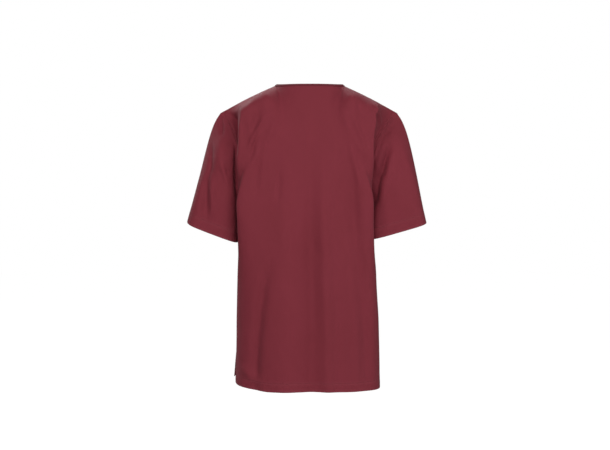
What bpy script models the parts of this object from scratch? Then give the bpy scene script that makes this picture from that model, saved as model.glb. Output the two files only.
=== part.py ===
"""Pull-on medical scrub top with short set-in sleeves, in its worn, hollow shape.

Metres, +Z up. The origin is midway between the two shoulder-neck points, where the
wearer's shoulders hold the garment. The front faces -Y, the back +Y and the wearer's
left side is at +X. Each sewn piece is one wall of cloth, its outer face on the shape
that the section and fold tables below describe.
"""

import math
from collections import namedtuple

import bmesh
import bpy
import numpy as np

# Cloth
WALL = 0.0014                # one layer of cloth
SEAM_GAP = 0.0003            # clearance between two sewn pieces
OVERHANG_MARGIN = 1.25       # extra on the clearance where a wall leans over its seam
BINDING_HEIGHT = 0.0055      # the bound edge round the neck
BINDING_WALL = 0.0026
BINDING_LEAN = 0.1           # how much more upright it stands than the cloth beside it

# Cut, as worn
NECK_HALF_WIDTH = 0.0860
NECK_BACK_DEPTH = 0.088      # centre back neck behind the shoulder seams
NECK_BACK_DROP = 0.0092      # centre back of the panel below the shoulder-neck points
NECK_BACK_RISE = 3.5         # how late the back neck edge rises to its corners
NECK_CORNER_DROP = -0.0008   # the panels' corners below the shoulder-neck points
NECK_SLANT = 0.0010          # how much lower the right side of the neck lies
NECK_FRONT_DEPTH = 0.098     # foot of the V before the shoulder seams
NECK_BACK_FULLNESS = 0.72    # under 1, the back neck edge is fuller than an ellipse
V_DEPTH = 0.150              # foot of the V below the shoulder-neck points
V_BOW_OUT = 2.4              # how late the V comes forward from the shoulder
V_BOW_DOWN = 1.25            # over 1, the sides of the V hollow a little
SHOULDER_HALF_WIDTH = 0.2170
SHOULDER_DROP = 0.0652
SHOULDER_BOW = 0.0028
LEVEL_SHARE = 0.4            # share of a half section that stays level
ARMHOLE_TURN = 0.86          # the armhole's edge turns under from here to the side seam
UNDERARM_LEVEL = 0.300
SIDE_DEPTH = -0.004          # the side seams lie a little before the shoulder seams
VENT_LEVEL = 0.597           # the side seams stop here and the side vents begin
HEM_TILT = 0.0006            # the hem is this much lower at the wearer's right
BACK_CORNER = 0.022          # rounding of the hem's corners at the vents
FRONT_CORNER = 0.002
BACK_CROWN = 0.009           # how far the panel curves away towards its edges
FRONT_CROWN = 0.0
HEM_KICK = {1: 0.0180, -1: 0.0050}  # the back hem rises this much towards its corners
HEM_KICK_WIDTH = 0.165
HEM_SHARE = 0.86             # the hem's shape works on the rows past this share down
FOLD_FADE = 0.3              # share of a fold's length over which each end dies away
SEAM_CALM = 0.12             # folds die away over this share of a half panel at the sides
VENT_CALM = 0.08             # below the seam's end, folds come back over this height

# The grids that carry the pieces
PANEL_COLUMNS = 44
ARMHOLE_ROWS = 16
BODY_ROWS = 15
RIDGE_SHARE = 0.25           # an extra row this share of a row from the shoulder seam
SLEEVE_ROWS = 12
NECK_SHARE = 0.5             # share of a half panel's columns that starts on the neck
CURVE_POINTS = 400           # points of a working curve that the grids read

CLOTH_COLOUR = (0.175, 0.030, 0.042, 1.0)
BINDING_COLOUR = (0.140, 0.022, 0.032, 1.0)
CLOTH_ROUGHNESS = 0.82

# A level section of one panel. Levels are below the shoulder-neck points and depths
# are from the plane of the shoulder seams.
Section = namedtuple("Section", "level edge_level half_width depth edge_x edge_y squareness")
BACK_SECTIONS = (
    Section(0.1500, 0.185, 0.1680, 0.117, 0.1640, 0.047, 9.0),
    Section(0.3000, 0.300, 0.1680, 0.123, 0.1600, SIDE_DEPTH, 9.0),
    Section(0.3600, 0.360, 0.1690, 0.124, 0.1610, SIDE_DEPTH, 8.0),
    Section(0.4700, 0.470, 0.1715, 0.124, 0.1700, SIDE_DEPTH, 6.5),
    Section(0.5970, 0.597, 0.1765, 0.124, 0.1755, SIDE_DEPTH, 4.8),
    Section(0.7475, 0.7475, 0.1795, 0.125, 0.1780, 0.008, 3.8),
)
FRONT_SECTIONS = (
    Section(0.235, 0.185, 0.1680, -0.122, 0.1640, -0.058, 3.4),
    Section(0.300, 0.300, 0.1690, -0.128, 0.1600, SIDE_DEPTH, 3.4),
    Section(0.360, 0.360, 0.1700, -0.132, 0.1610, SIDE_DEPTH, 3.2),
    Section(0.470, 0.470, 0.1725, -0.133, 0.1700, SIDE_DEPTH, 3.0),
    Section(0.597, 0.597, 0.1770, -0.132, 0.1755, SIDE_DEPTH, 2.8),
    Section(0.729, 0.729, 0.1800, -0.130, 0.1800, -0.012, 2.8),
)
# How far the whole garment hangs to the wearer's left at a level.
Sway = namedtuple("Sway", "level left")
SWAY = (
    Sway(0.000, -0.0068),
    Sway(0.050, -0.0052),
    Sway(0.072, -0.0045),
    Sway(0.150, 0.0045),
    Sway(0.300, 0.0045),
    Sway(0.470, -0.0003),
    Sway(0.600, -0.0024),
    Sway(0.750, -0.0024),
)

# Where a panel's columns stand along a level section.
Spread = namedtuple("Spread", "half share")
COLUMN_SPREAD = (
    Spread(0.00, 0.00),
    Spread(0.50, 0.46),
    Spread(0.82, 0.735),
    Spread(1.00, 1.00),
)

# How the cloth leaves the neck and shoulder: share across the half panel, how far the
# slope falls before its knee, and how squarely it then turns down into the body. The
# back has a table for each side, the wearer's left (1) and right (-1).
Leaving = namedtuple("Leaving", "share drop squareness")
BACK_LEAVING = {
    1: (
        Leaving(0.00, 0.0600, 2.2),
        Leaving(0.20, 0.0550, 2.3),
        Leaving(0.32, 0.0450, 2.6),
        Leaving(0.40, 0.0270, 3.6),
        Leaving(0.46, 0.0205, 5.0),
        Leaving(0.52, 0.0230, 7.0),
        Leaving(0.60, 0.0250, 8.0),
        Leaving(0.70, 0.0245, 9.0),
        Leaving(0.77, 0.0270, 9.0),
        Leaving(0.84, 0.0320, 9.0),
        Leaving(0.89, 0.0480, 6.0),
        Leaving(0.94, 0.0660, 4.0),
        Leaving(1.00, 0.0730, 3.6),
    ),
    -1: (
        Leaving(0.00, 0.0600, 2.2),
        Leaving(0.20, 0.0550, 2.3),
        Leaving(0.32, 0.0430, 2.6),
        Leaving(0.40, 0.0240, 3.6),
        Leaving(0.46, 0.0205, 5.0),
        Leaving(0.54, 0.0220, 6.0),
        Leaving(0.64, 0.0185, 5.0),
        Leaving(0.77, 0.0155, 5.0),
        Leaving(0.84, 0.0185, 8.0),
        Leaving(0.90, 0.0300, 8.0),
        Leaving(0.95, 0.0500, 5.0),
        Leaving(1.00, 0.0730, 2.3),
    ),
}
FRONT_LEAVING = (
    Leaving(0.00, 0.0420, 2.2),
    Leaving(0.25, 0.0660, 2.2),
    Leaving(0.42, 0.0760, 2.2),
    Leaving(0.55, 0.0600, 2.2),
    Leaving(0.70, 0.0490, 2.4),
    Leaving(0.81, 0.0580, 3.2),
    Leaving(0.90, 0.0740, 3.2),
    Leaving(1.00, 0.0780, 3.0),
)

# The left armhole's hollow beside the flat of the back: it starts at x, between two
# levels, and dies away over its reach towards the armhole's edge.
Tuck = namedtuple("Tuck", "x top foot reach depth")
BACK_TUCK = Tuck(0.1660, 0.064, 0.150, 0.034, 0.018)

# A soft fold down a panel. Across is measured round the panel from its middle, towards
# the wearer's left, at the fold's top, half way and foot; a fold that runs off the hem
# has its foot below it. A negative height is a trough.
Fold = namedtuple("Fold", "across_top across_middle across_foot top foot width height")
BACK_FOLDS = (
    Fold(-0.042, -0.004, -0.008, 0.110, 1.000, 0.017, -0.0050),
    Fold(-0.062, -0.048, -0.095, 0.070, 1.000, 0.018, 0.0050),
    Fold(-0.080, -0.138, -0.170, 0.150, 0.720, 0.014, -0.0045),
    Fold(0.035, 0.016, 0.030, 0.140, 1.000, 0.028, 0.0035),
    Fold(0.078, 0.116, 0.100, 0.400, 1.000, 0.014, -0.0080),
    Fold(0.150, 0.146, 0.150, 0.380, 1.000, 0.022, 0.0045),
    Fold(0.070, 0.108, 0.160, 0.070, 0.240, 0.014, 0.0035),
    Fold(-0.090, -0.124, -0.165, 0.060, 0.200, 0.014, 0.0030),
)
FRONT_FOLDS = (
    Fold(0.235, 0.235, 0.235, 0.580, 1.200, 0.050, 0.0060),
    Fold(-0.030, -0.048, -0.060, 0.200, 1.000, 0.022, -0.0060),
    Fold(-0.105, -0.100, -0.110, 0.160, 1.000, 0.020, 0.0055),
    Fold(0.020, 0.012, 0.004, 0.240, 1.000, 0.024, 0.0050),
    Fold(0.085, 0.072, 0.082, 0.180, 1.000, 0.020, -0.0060),
    Fold(0.130, 0.132, 0.140, 0.240, 1.000, 0.022, 0.0055),
    Fold(-0.100, -0.130, -0.170, 0.070, 0.250, 0.014, 0.0035),
)

# A sleeve's cuff ring: the outermost and innermost points and their levels, the ring's
# half depth and middle, how far its back hangs below its front, how much of that is
# more on the outer side, and the fall of the sleeve's outer and inner lines.
Cuff = namedtuple(
    "Cuff",
    "outer_x outer_level inner_x inner_level half_depth middle_y dip droop outer_fall inner_fall",
)
CUFFS = {
    1: Cuff(0.2975, 0.3335, 0.1705, 0.386, 0.062, 0.003, 0.0098, 0.0024, 0.29, 0.09),
    -1: Cuff(0.2960, 0.3375, 0.1600, 0.380, 0.062, 0.003, 0.0060, 0.0018, 0.22, 0.10),
}
CUFF_SQUARENESS = 4.4
# How the sleeve leaves the armhole, going round from the shoulder point (0 degrees) by
# the back (90) and the underarm (180) to the front (270): its direction, and the reach
# of that direction and of the fall at the cuff as shares of the sleeve's length there.
SleeveLeaving = namedtuple("SleeveLeaving", "angle outward back down reach cuff_reach")
SLEEVE_LEAVING = (
    SleeveLeaving(0.0, 0.74, 0.00, 0.66, 0.16, 0.55),
    SleeveLeaving(40.0, 0.72, 0.35, 0.60, 0.22, 0.50),
    SleeveLeaving(90.0, 0.62, 0.42, 0.66, 0.26, 0.42),
    SleeveLeaving(140.0, 0.34, 0.16, 0.92, 0.30, 0.36),
    SleeveLeaving(180.0, 0.20, 0.00, 0.98, 0.33, 0.33),
    SleeveLeaving(220.0, 0.34, -0.16, 0.92, 0.30, 0.36),
    SleeveLeaving(270.0, 0.62, -0.42, 0.66, 0.26, 0.42),
    SleeveLeaving(320.0, 0.72, -0.35, 0.60, 0.22, 0.50),
    SleeveLeaving(360.0, 0.74, 0.00, 0.66, 0.16, 0.55),
)
# A soft fold down a sleeve: its angle at both ends, the shares of the sleeve's length
# where it starts and stops, its half width in degrees, and its height.
SleeveFold = namedtuple("SleeveFold", "angle_top angle_foot start stop width height")
SLEEVE_FOLDS = {
    1: (
        SleeveFold(250.0, 262.0, 0.15, 1.40, 16.0, -0.0040),
    ),
    -1: (
        SleeveFold(268.0, 240.0, 0.10, 1.30, 15.0, -0.0040),
    ),
}


def smooth(value, low, high):
    """0 below low, 1 above high and a smooth step between."""
    share = np.clip((value - low) / (high - low), 0.0, 1.0)
    return share * share * (3.0 - 2.0 * share)


def unit(vectors):
    return vectors / np.linalg.norm(vectors, axis=-1, keepdims=True)


def xyz(x, y, z):
    return np.stack(np.broadcast_arrays(x, y, z), axis=-1)


def column(table, name):
    return np.array([getattr(row, name) for row in table])


def look_up(table, key, values, name):
    """A column of a table, eased between its rows."""
    keys, rows = column(table, key), column(table, name)
    found = np.full(np.shape(values), rows[0])
    for low, high, step in zip(keys[:-1], keys[1:], np.diff(rows)):
        found = found + step * smooth(values, low, high)
    return found


def follow(table, key, values, name, start=0.0):
    """A column of a table as one smooth curve, with the given slope at its start."""
    keys, rows = column(table, key), column(table, name)
    slopes = np.gradient(rows, keys)
    slopes[0] = start
    k = np.clip(np.searchsorted(keys, values, side="right") - 1, 0, len(keys) - 2)
    span = keys[k + 1] - keys[k]
    t = (values - keys[k]) / span
    ease = t * t * (3.0 - 2.0 * t)
    bend = slopes[k] * (t - 1.0) ** 2 * t + slopes[k + 1] * (t - 1.0) * t**2
    return rows[k] + (rows[k + 1] - rows[k]) * ease + span * bend


def at_shares(line, shares):
    """Points of a polyline at shares of its length."""
    along = np.concatenate([[0.0], np.cumsum(np.linalg.norm(np.diff(line, axis=0), axis=1))])
    return xyz(*(np.interp(shares * along[-1], along, line[:, k]) for k in range(3)))


def bezier(controls, share):
    """A Bezier curve for each column, at the given shares of its course."""
    t = share[:, None, None]
    degree = len(controls) - 1
    return sum(
        math.comb(degree, k) * (1 - t) ** (degree - k) * t**k * point
        for k, point in enumerate(controls)
    )


def swell(value, start, stop, fade=FOLD_FADE):
    """How strongly a fold shows between its two ends."""
    fade = fade * (stop - start)
    return smooth(value, start, start + fade) * (1.0 - smooth(value, stop - fade, stop))


def normals_of(grid, closed=False):
    """Unit normals of a grid of points, across the columns by down the rows."""
    if closed:
        around = np.roll(grid, -1, axis=1) - np.roll(grid, 1, axis=1)
    else:
        around = np.gradient(grid, axis=1)
    return unit(np.cross(around, np.gradient(grid, axis=0)))


class Panel:
    """The front or the back, from its neck edge and shoulder seams to its hem."""

    def __init__(self, facing, corner, crown, sections, leaving, folds, tuck=None):
        self.facing = facing             # +1 for the back, -1 for the front
        self.corner = corner
        self.crown = crown
        self.sections = sections
        self.leaving = leaving
        self.folds = folds
        self.tuck = tuck
        levels = column(sections, "level")
        self.knots = np.concatenate([[0.0], np.cumsum(np.diff(levels, prepend=0.0))]) / levels[-1]
        self.underarm = self.knots[2]

    def neck_edge(self, share):
        """Half of the neck edge, from the middle (0) to the shoulder-neck point (1)."""
        if self.facing > 0:
            turn = share * math.pi / 2
            x = NECK_HALF_WIDTH * np.sin(turn) ** NECK_BACK_FULLNESS
            level = NECK_BACK_DROP + (NECK_CORNER_DROP - NECK_BACK_DROP) * share**NECK_BACK_RISE
            return xyz(x, NECK_BACK_DEPTH * np.cos(turn) ** NECK_BACK_FULLNESS, -level)
        y = -NECK_FRONT_DEPTH * (1.0 - share**V_BOW_OUT)
        drop = (V_DEPTH - NECK_CORNER_DROP) * (1.0 - share) ** V_BOW_DOWN
        return xyz(NECK_HALF_WIDTH * share, y, -NECK_CORNER_DROP - drop)

    def top_edge(self, across):
        """The neck edge and the shoulder seam, for shares across the half panel."""
        half = np.abs(across)
        neck = self.neck_edge(np.linspace(0.0, 1.0, CURVE_POINTS))
        neck = at_shares(neck, np.clip(half / NECK_SHARE, 0.0, 1.0))
        share = np.clip((half - NECK_SHARE) / (1.0 - NECK_SHARE), 0.0, 1.0)
        x = NECK_HALF_WIDTH + (SHOULDER_HALF_WIDTH - NECK_HALF_WIDTH) * share
        z = -NECK_CORNER_DROP - (SHOULDER_DROP - NECK_CORNER_DROP) * share
        seam = xyz(x, 0.0, z + SHOULDER_BOW * np.sin(math.pi * share))
        edge = np.where((half <= NECK_SHARE)[:, None], neck, seam)
        edge[:, 2] -= NECK_SLANT * swell(-across, 0.30, 1.0, 0.4)
        return edge

    def section(self, row, half):
        """Half of a level section, from the middle of the panel to its edge."""
        turn = np.linspace(0.0, math.pi / 2, CURVE_POINTS)
        power = 2.0 / row.squareness
        spread = (row.edge_x - row.half_width) * smooth(turn, 1.0, math.pi / 2)
        out = np.sin(turn) ** power
        depth = row.depth - self.crown * out**2
        line = xyz(
            row.half_width * out + spread,
            row.edge_y + (depth - row.edge_y) * np.cos(turn) ** power,
            0.0,
        )
        points = at_shares(line, follow(COLUMN_SPREAD, "half", half, "share", 0.92))
        tilt = smooth(half, LEVEL_SHARE, 1.0)
        points[:, 2] = -row.level - (row.edge_level - row.level) * tilt
        return points

    def over_shoulder(self, across, top, first, share):
        """The columns from the top edge to the first section: a slope and then a knee."""
        half = np.abs(across)
        drop, squareness = (
            np.where(
                across > 0.0,
                follow(self.leaving[1], "share", half, name),
                follow(self.leaving[-1], "share", half, name),
            )
            for name in ("drop", "squareness")
        )
        knee = xyz(first[:, 0], first[:, 1], top[:, 2] - drop)
        power = 2.0 / squareness
        turn = np.linspace(0.0, math.pi / 2, CURVE_POINTS)[:, None]
        on_top = 1.0 - np.sin(turn) ** power
        on_body = 1.0 - np.clip(np.cos(turn), 0.0, 1.0) ** power
        curves = knee + (top - knee) * on_top[..., None] + (first - knee) * on_body[..., None]
        return np.stack([at_shares(curves[:, k], share) for k in range(len(across))], axis=1)

    def down_body(self, k, half, stations):
        """Control points of the columns from one section to the next."""
        start, end = stations[k - 1], stations[k]
        run = np.linalg.norm(end - start, axis=1)[:, None]
        down = np.array([0.0, 0.0, -1.0])
        leave = arrive = down
        at_side = smooth(half, 0.7, 1.0)[:, None]
        if k == 1:
            turn = smooth(half, ARMHOLE_TURN, 1.0)[:, None]
            rounding = unit(np.array([0.0, -0.90 * self.facing, -0.32]))
            arrive = unit(down * (1 - turn) + rounding * turn)
            return start, start + down * run / 3, end - arrive * run * (0.36 + 0.12 * turn), end
        if k > 2:
            leave = unit(end - stations[k - 2])
        if k + 1 < len(stations):
            arrive = unit(stations[k + 1] - start)
            arrive = unit(arrive * (1 - at_side) + down * at_side)
        else:
            arrive = unit(end - start)
        leave = unit(leave * (1 - at_side) + down * at_side)
        return start, start + leave * run / 3, end - arrive * run / 3, end

    def base(self, across, down):
        """The outer face without folds: rows follow down, columns follow across."""
        half = np.abs(across)
        top = self.top_edge(across)
        stations = [self.section(row, half) for row in self.sections]
        grid = np.zeros((len(down), len(across), 3))
        for k in range(len(stations)):
            inside = (down >= self.knots[k]) & (down <= self.knots[k + 1])
            share = (down[inside] - self.knots[k]) / (self.knots[k + 1] - self.knots[k])
            if k == 0:
                grid[inside] = self.over_shoulder(across, top, stations[0], share)
            else:
                grid[inside] = bezier(self.down_body(k, half, stations), share)
        level = -grid[..., 2]
        grid[..., 0] = grid[..., 0] * np.sign(across) + look_up(SWAY, "level", level, "left")
        return grid

    def fold_heights(self, grid, across):
        steps = np.linalg.norm(np.diff(grid, axis=1), axis=2)
        round_it = np.cumsum(np.pad(steps, ((0, 0), (1, 0))), axis=1)
        round_it -= round_it[:, [np.argmin(np.abs(across))]]
        level = -grid[..., 2]
        height = np.zeros(level.shape)
        for fold in self.folds:
            share = (level - fold.top) / (fold.foot - fold.top)
            bend = fold.across_middle - (fold.across_top + fold.across_foot) / 2
            centre = fold.across_top + (fold.across_foot - fold.across_top) * share
            centre += 4.0 * bend * share * (1.0 - share)
            near = np.exp(-(((round_it - centre) / fold.width) ** 2))
            height += fold.height * near * swell(level, fold.top, fold.foot)
        sewn = 1.0 - smooth(level, VENT_LEVEL, VENT_LEVEL + VENT_CALM)
        inside = smooth(1.0 - np.abs(across), 0.0, SEAM_CALM)
        return height * (1.0 - sewn * (1.0 - inside))

    def hem_lift(self, grid, across, down):
        """Tilts the hem, lifts its back corners and rounds its corners at the vents."""
        steps = np.linalg.norm(np.diff(grid[-1], axis=0), axis=1)
        from_right = np.cumsum(np.pad(steps, (1, 0)))
        from_edge = np.minimum(from_right, from_right[-1] - from_right)
        into = np.clip(1.0 - from_edge / self.corner, 0.0, 1.0)
        lift = HEM_TILT * across + 0.8 * self.corner * (1.0 - np.sqrt(1.0 - 0.98 * into**2))
        if self.facing > 0:
            kick = np.clip(1.0 - from_edge / HEM_KICK_WIDTH, 0.0, 1.0) ** 1.2
            lift += kick * np.where(across > 0, HEM_KICK[1], HEM_KICK[-1])
        return lift * smooth(down, HEM_SHARE, 1.0)[:, None]

    def outward(self, grid):
        return normals_of(grid) * self.facing

    def points(self, across, down):
        """The finished outer face, with its clearance at the shoulder and side seams."""
        grid = self.base(across, down)
        grid += self.outward(grid) * self.fold_heights(grid, across)[..., None]
        if self.tuck:
            steps = np.linalg.norm(np.diff(grid, axis=1), axis=2)
            to_left = np.cumsum(np.pad(steps, ((0, 0), (0, 1)))[:, ::-1], axis=1)[:, ::-1]
            depth = self.tuck.depth * smooth(grid[..., 0], self.tuck.x, self.tuck.x + 0.006)
            depth = depth * smooth(to_left, 0.0, self.tuck.reach)
            grid[..., 1] -= depth * swell(-grid[..., 2], self.tuck.top, self.tuck.foot, 0.12)
        grid[..., 2] += self.hem_lift(grid, across, down)
        half = np.abs(across)[None, :]
        shoulder = (half >= NECK_SHARE) & (down == 0.0)[:, None]
        side = (half == 1.0) & (down >= self.underarm)[:, None]
        sewn = (shoulder | side) * self.facing
        depth = grid[..., 1].copy()
        for _ in range(3):  # moving the edge tilts it, so the clearance is worked out again
            overhang = WALL * np.clip(self.outward(grid)[..., 1] * self.facing, 0.0, 1.0)
            grid[..., 1] = depth + (SEAM_GAP / 2 + OVERHANG_MARGIN * overhang) * sewn
        return grid


FRONT_SIDES = {1: FRONT_LEAVING, -1: FRONT_LEAVING}
BACK = Panel(1, BACK_CORNER, BACK_CROWN, BACK_SECTIONS, BACK_LEAVING, BACK_FOLDS, BACK_TUCK)
FRONT = Panel(-1, FRONT_CORNER, FRONT_CROWN, FRONT_SECTIONS, FRONT_SIDES, FRONT_FOLDS)


def panel_rows(panel):
    """Shares down a panel: a row close to the shoulder ridge, the armhole, the body."""
    armhole = np.linspace(0.0, panel.underarm, ARMHOLE_ROWS + 1)
    body = np.linspace(panel.underarm, 1.0, BODY_ROWS + 1)
    return np.concatenate([[0.0, armhole[1] * RIDGE_SHARE], armhole[1:], body[1:]])


def panel_grid(panel):
    return panel.points(np.linspace(-1.0, 1.0, PANEL_COLUMNS + 1), panel_rows(panel))


def armhole_ring(side, grids):
    """The armhole's edge, the panels' normals there and its angles in degrees, round from
    the shoulder point by the back to the underarm and up the front."""
    ring, normals, angles = [], [], []
    for panel, grid in zip((BACK, FRONT), grids):
        edge = slice(0, ARMHOLE_ROWS + 2), -1 if side > 0 else 0
        ring.append(grid[edge])
        normals.append(panel.outward(grid)[edge])
        turn = np.cumsum(np.pad(np.linalg.norm(np.diff(grid[edge], axis=0), axis=1), (1, 0)))
        turn *= 180.0 / turn[-1]
        angles.append(turn if panel.facing > 0 else 360.0 - turn)
    return (np.concatenate([back[:-1], front[:0:-1]]) for back, front in (ring, normals, angles))


def cuff_ring(side, turn):
    cuff = CUFFS[side]
    middle_x, half_x = (cuff.outer_x + cuff.inner_x) / 2, (cuff.outer_x - cuff.inner_x) / 2
    middle = (cuff.outer_level + cuff.inner_level) / 2
    rise = (cuff.inner_level - cuff.outer_level) / 2
    power = 2.0 / CUFF_SQUARENESS
    out = np.sign(np.cos(turn)) * np.abs(np.cos(turn)) ** power
    back = np.sign(np.sin(turn)) * np.abs(np.sin(turn)) ** power
    sag = (cuff.dip + cuff.droop * out) * back
    return xyz(
        side * (middle_x + half_x * out),
        cuff.middle_y + cuff.half_depth * back,
        -middle + rise * out - sag,
    )


def sleeve_grid(side, grids, along):
    """A sleeve's outer face: rows from the armhole to the cuff, columns round it."""
    hole, body_normals, angles = armhole_ring(side, grids)
    table = {name: look_up(SLEEVE_LEAVING, "angle", angles, name) for name in SleeveLeaving._fields}
    leave = unit(xyz(side * table["outward"], table["back"], -table["down"]))
    turned_in = np.clip(-np.sum(body_normals * leave, axis=1), 0.0, 0.95)
    clearance = SEAM_GAP + 2.0 * WALL * np.tan(np.arcsin(turned_in) / 2)
    start = hole + leave * clearance[:, None] + xyz(side * SEAM_GAP, 0.0, 0.0)
    turn = np.radians(angles)
    ring = cuff_ring(side, turn)
    cuff = CUFFS[side]
    outer = (1.0 + np.cos(turn)) / 2
    fall = cuff.outer_fall * outer + cuff.inner_fall * (1.0 - outer)
    hang = unit(xyz(side * fall, 0.0, -1.0))
    run = np.linalg.norm(ring - start, axis=1)
    controls = (
        start,
        start + leave * (run * table["reach"])[:, None],
        ring - hang * (run * table["cuff_reach"])[:, None],
        ring,
    )
    grid = bezier(controls, along)
    height = np.zeros(grid.shape[:2])
    for fold in SLEEVE_FOLDS[side]:
        share = np.clip((along - fold.start) / (fold.stop - fold.start), 0.0, 1.0)
        centre = fold.angle_top + (fold.angle_foot - fold.angle_top) * share
        near = np.exp(-(((angles[None, :] - centre[:, None]) / fold.width) ** 2))
        height += fold.height * near * swell(along, fold.start, fold.stop)[:, None]
    return grid - side * normals_of(grid, closed=True) * height[..., None]


def neck_loop(grids):
    """The panels' neck edges as one loop, with their outward normals."""
    edges, normals = [], []
    quarter = PANEL_COLUMNS // 4
    columns = slice(PANEL_COLUMNS // 2 - quarter, PANEL_COLUMNS // 2 + quarter + 1)
    for panel, grid in zip((BACK, FRONT), grids):
        edges.append(grid[0, columns])
        normals.append(panel.outward(grid)[0, columns])
    return tuple(np.concatenate([back[:-1], front[:0:-1]]) for back, front in (edges, normals))


def binding_grid(grids):
    """The neck binding's middle: two rings, standing on the panels' edges."""
    edge, normals = neck_loop(grids)
    normals = unit(np.roll(normals, 1, axis=0) + 2.0 * normals + np.roll(normals, -1, axis=0))
    ahead = unit(np.roll(edge, -1, axis=0) - edge)
    behind = np.roll(ahead, 1, axis=0)
    upward = unit(np.cross(ahead + behind, normals))
    mitre = 1.0 / np.clip(np.linalg.norm(ahead + behind, axis=1) / 2, 0.5, 1.0)[:, None]
    lift = unit(upward + np.array([0.0, 0.0, BINDING_LEAN]))
    lean = np.linalg.norm(np.cross(upward, lift), axis=1)[:, None]
    twist = np.linalg.norm(np.roll(normals, -1, axis=0) - np.roll(normals, 1, axis=0), axis=1)
    clearance = SEAM_GAP + BINDING_WALL / 2 * lean + 2.5 * WALL * twist[:, None]
    foot = edge - normals * WALL / 2 + upward * clearance * mitre
    return np.stack([foot + lift * (BINDING_HEIGHT - SEAM_GAP) * mitre, foot])


def add_wall(name, points, colour, closed=False, thickness=WALL, offset=-1.0):
    """A sheet through a grid of points, which Solidify makes a wall of cloth."""
    if closed:
        points = np.concatenate([points, points[:, :1]], axis=1)
    rows, columns = points.shape[:2]
    sheet = bmesh.new()
    bmesh.ops.create_grid(sheet, x_segments=columns - 1, y_segments=rows - 1, size=1.0)
    for vertex, point in zip(sheet.verts, points.reshape(-1, 3)):
        vertex.co = point
    if closed:
        bmesh.ops.remove_doubles(sheet, verts=sheet.verts, dist=0.00001)
    mesh = bpy.data.meshes.new(name)
    sheet.to_mesh(mesh)
    sheet.free()
    mesh.shade_smooth()
    cloth = bpy.data.materials.new(name + "_cloth")
    cloth.use_nodes = True
    shader = cloth.node_tree.nodes["Principled BSDF"]
    shader.inputs["Base Color"].default_value = colour
    shader.inputs["Roughness"].default_value = CLOTH_ROUGHNESS
    shader.inputs["Metallic"].default_value = 0.0
    mesh.materials.append(cloth)
    piece = bpy.data.objects.new(name, mesh)
    bpy.data.collections["scrub_top"].objects.link(piece)
    wall = piece.modifiers.new("wall", "SOLIDIFY")
    wall.thickness = thickness
    wall.offset = offset


def main():
    for thing in list(bpy.data.objects):
        bpy.data.objects.remove(thing)
    scrub_top = bpy.data.collections.new("scrub_top")
    bpy.context.scene.collection.children.link(scrub_top)
    grids = back, front = panel_grid(BACK), panel_grid(FRONT)
    add_wall("back_panel", back, CLOTH_COLOUR)
    add_wall("front_panel", front[:, ::-1], CLOTH_COLOUR)
    along = np.linspace(0.0, 1.0, SLEEVE_ROWS + 1)
    add_wall("sleeve_left", sleeve_grid(1, grids, along)[:, ::-1], CLOTH_COLOUR, closed=True)
    add_wall("sleeve_right", sleeve_grid(-1, grids, along), CLOTH_COLOUR, closed=True)
    add_wall("neck_binding", binding_grid(grids), BINDING_COLOUR, closed=True,
             thickness=BINDING_WALL, offset=0.0)


main()
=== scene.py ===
import math
from collections import namedtuple

import bpy
import numpy as np
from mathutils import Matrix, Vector


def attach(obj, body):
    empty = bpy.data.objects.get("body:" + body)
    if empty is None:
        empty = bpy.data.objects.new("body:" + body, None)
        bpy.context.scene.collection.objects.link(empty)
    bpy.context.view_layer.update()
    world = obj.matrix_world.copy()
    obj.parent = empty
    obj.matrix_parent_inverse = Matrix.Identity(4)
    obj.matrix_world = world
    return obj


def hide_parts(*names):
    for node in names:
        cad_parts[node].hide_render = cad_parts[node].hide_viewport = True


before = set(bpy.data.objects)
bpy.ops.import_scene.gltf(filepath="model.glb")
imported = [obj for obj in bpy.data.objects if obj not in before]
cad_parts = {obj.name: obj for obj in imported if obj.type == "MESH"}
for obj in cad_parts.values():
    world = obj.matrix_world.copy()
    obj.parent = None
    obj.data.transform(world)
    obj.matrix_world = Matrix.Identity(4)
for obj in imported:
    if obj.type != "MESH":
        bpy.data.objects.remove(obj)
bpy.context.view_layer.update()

# A scrub top as it is worn. Metres, +Z up, back at +Y, wearer's left at +X.
# Levels are measured down from the shoulder-neck points.

cloth = {
    "thickness": 0.0008,
    "seamSink": 0.0009,       # how far a seam lies below the cloth beside it
    "seamReach": 0.0022,
    "seamEnd": 0.006,         # it rises again over this length at its ends
    "edgeTurn": 0.003,        # the cloth's thickness turns into the seam this near to it
    "seamAllowance": 0.011,   # cloth behind each seam
    "layer": 0.0006,          # extra thickness where cloth is turned under
    "stitchSink": 0.00035,
    "stitchReach": 0.0009,
}


def smooth(value, low, high):
    share = np.clip((value - low) / (high - low), 0.0, 1.0)
    return share * share * (3.0 - 2.0 * share)


def unit(vectors):
    return vectors / np.linalg.norm(vectors, axis=-1, keepdims=True)


def xyz(x, y, z):
    return np.stack(np.broadcast_arrays(x, y, z), axis=-1)


def column(table, name):
    return np.array([getattr(row, name) for row in table], float)


def lookUp(table, key, values, name):  # a column of a table, eased between its rows
    keys, rows = column(table, key), column(table, name)
    found = np.full(np.shape(values), rows[0])
    for low, high, step in zip(keys[:-1], keys[1:], np.diff(rows)):
        found = found + step * smooth(values, low, high)
    return found


def follow(table, key, values, name, start=0.0):  # a column of a table, as one smooth curve
    keys, rows = column(table, key), column(table, name)
    slopes = np.gradient(rows, keys)
    slopes[0] = start
    k = np.clip(np.searchsorted(keys, values, side="right") - 1, 0, len(keys) - 2)
    span = keys[k + 1] - keys[k]
    t = (values - keys[k]) / span
    ease = t * t * (3.0 - 2.0 * t)
    bend = slopes[k] * (t - 1.0) ** 2 * t + slopes[k + 1] * (t - 1.0) * t**2
    return rows[k] + (rows[k + 1] - rows[k]) * ease + span * bend


def looped(line):
    return np.concatenate([line, line[:1]])


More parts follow.
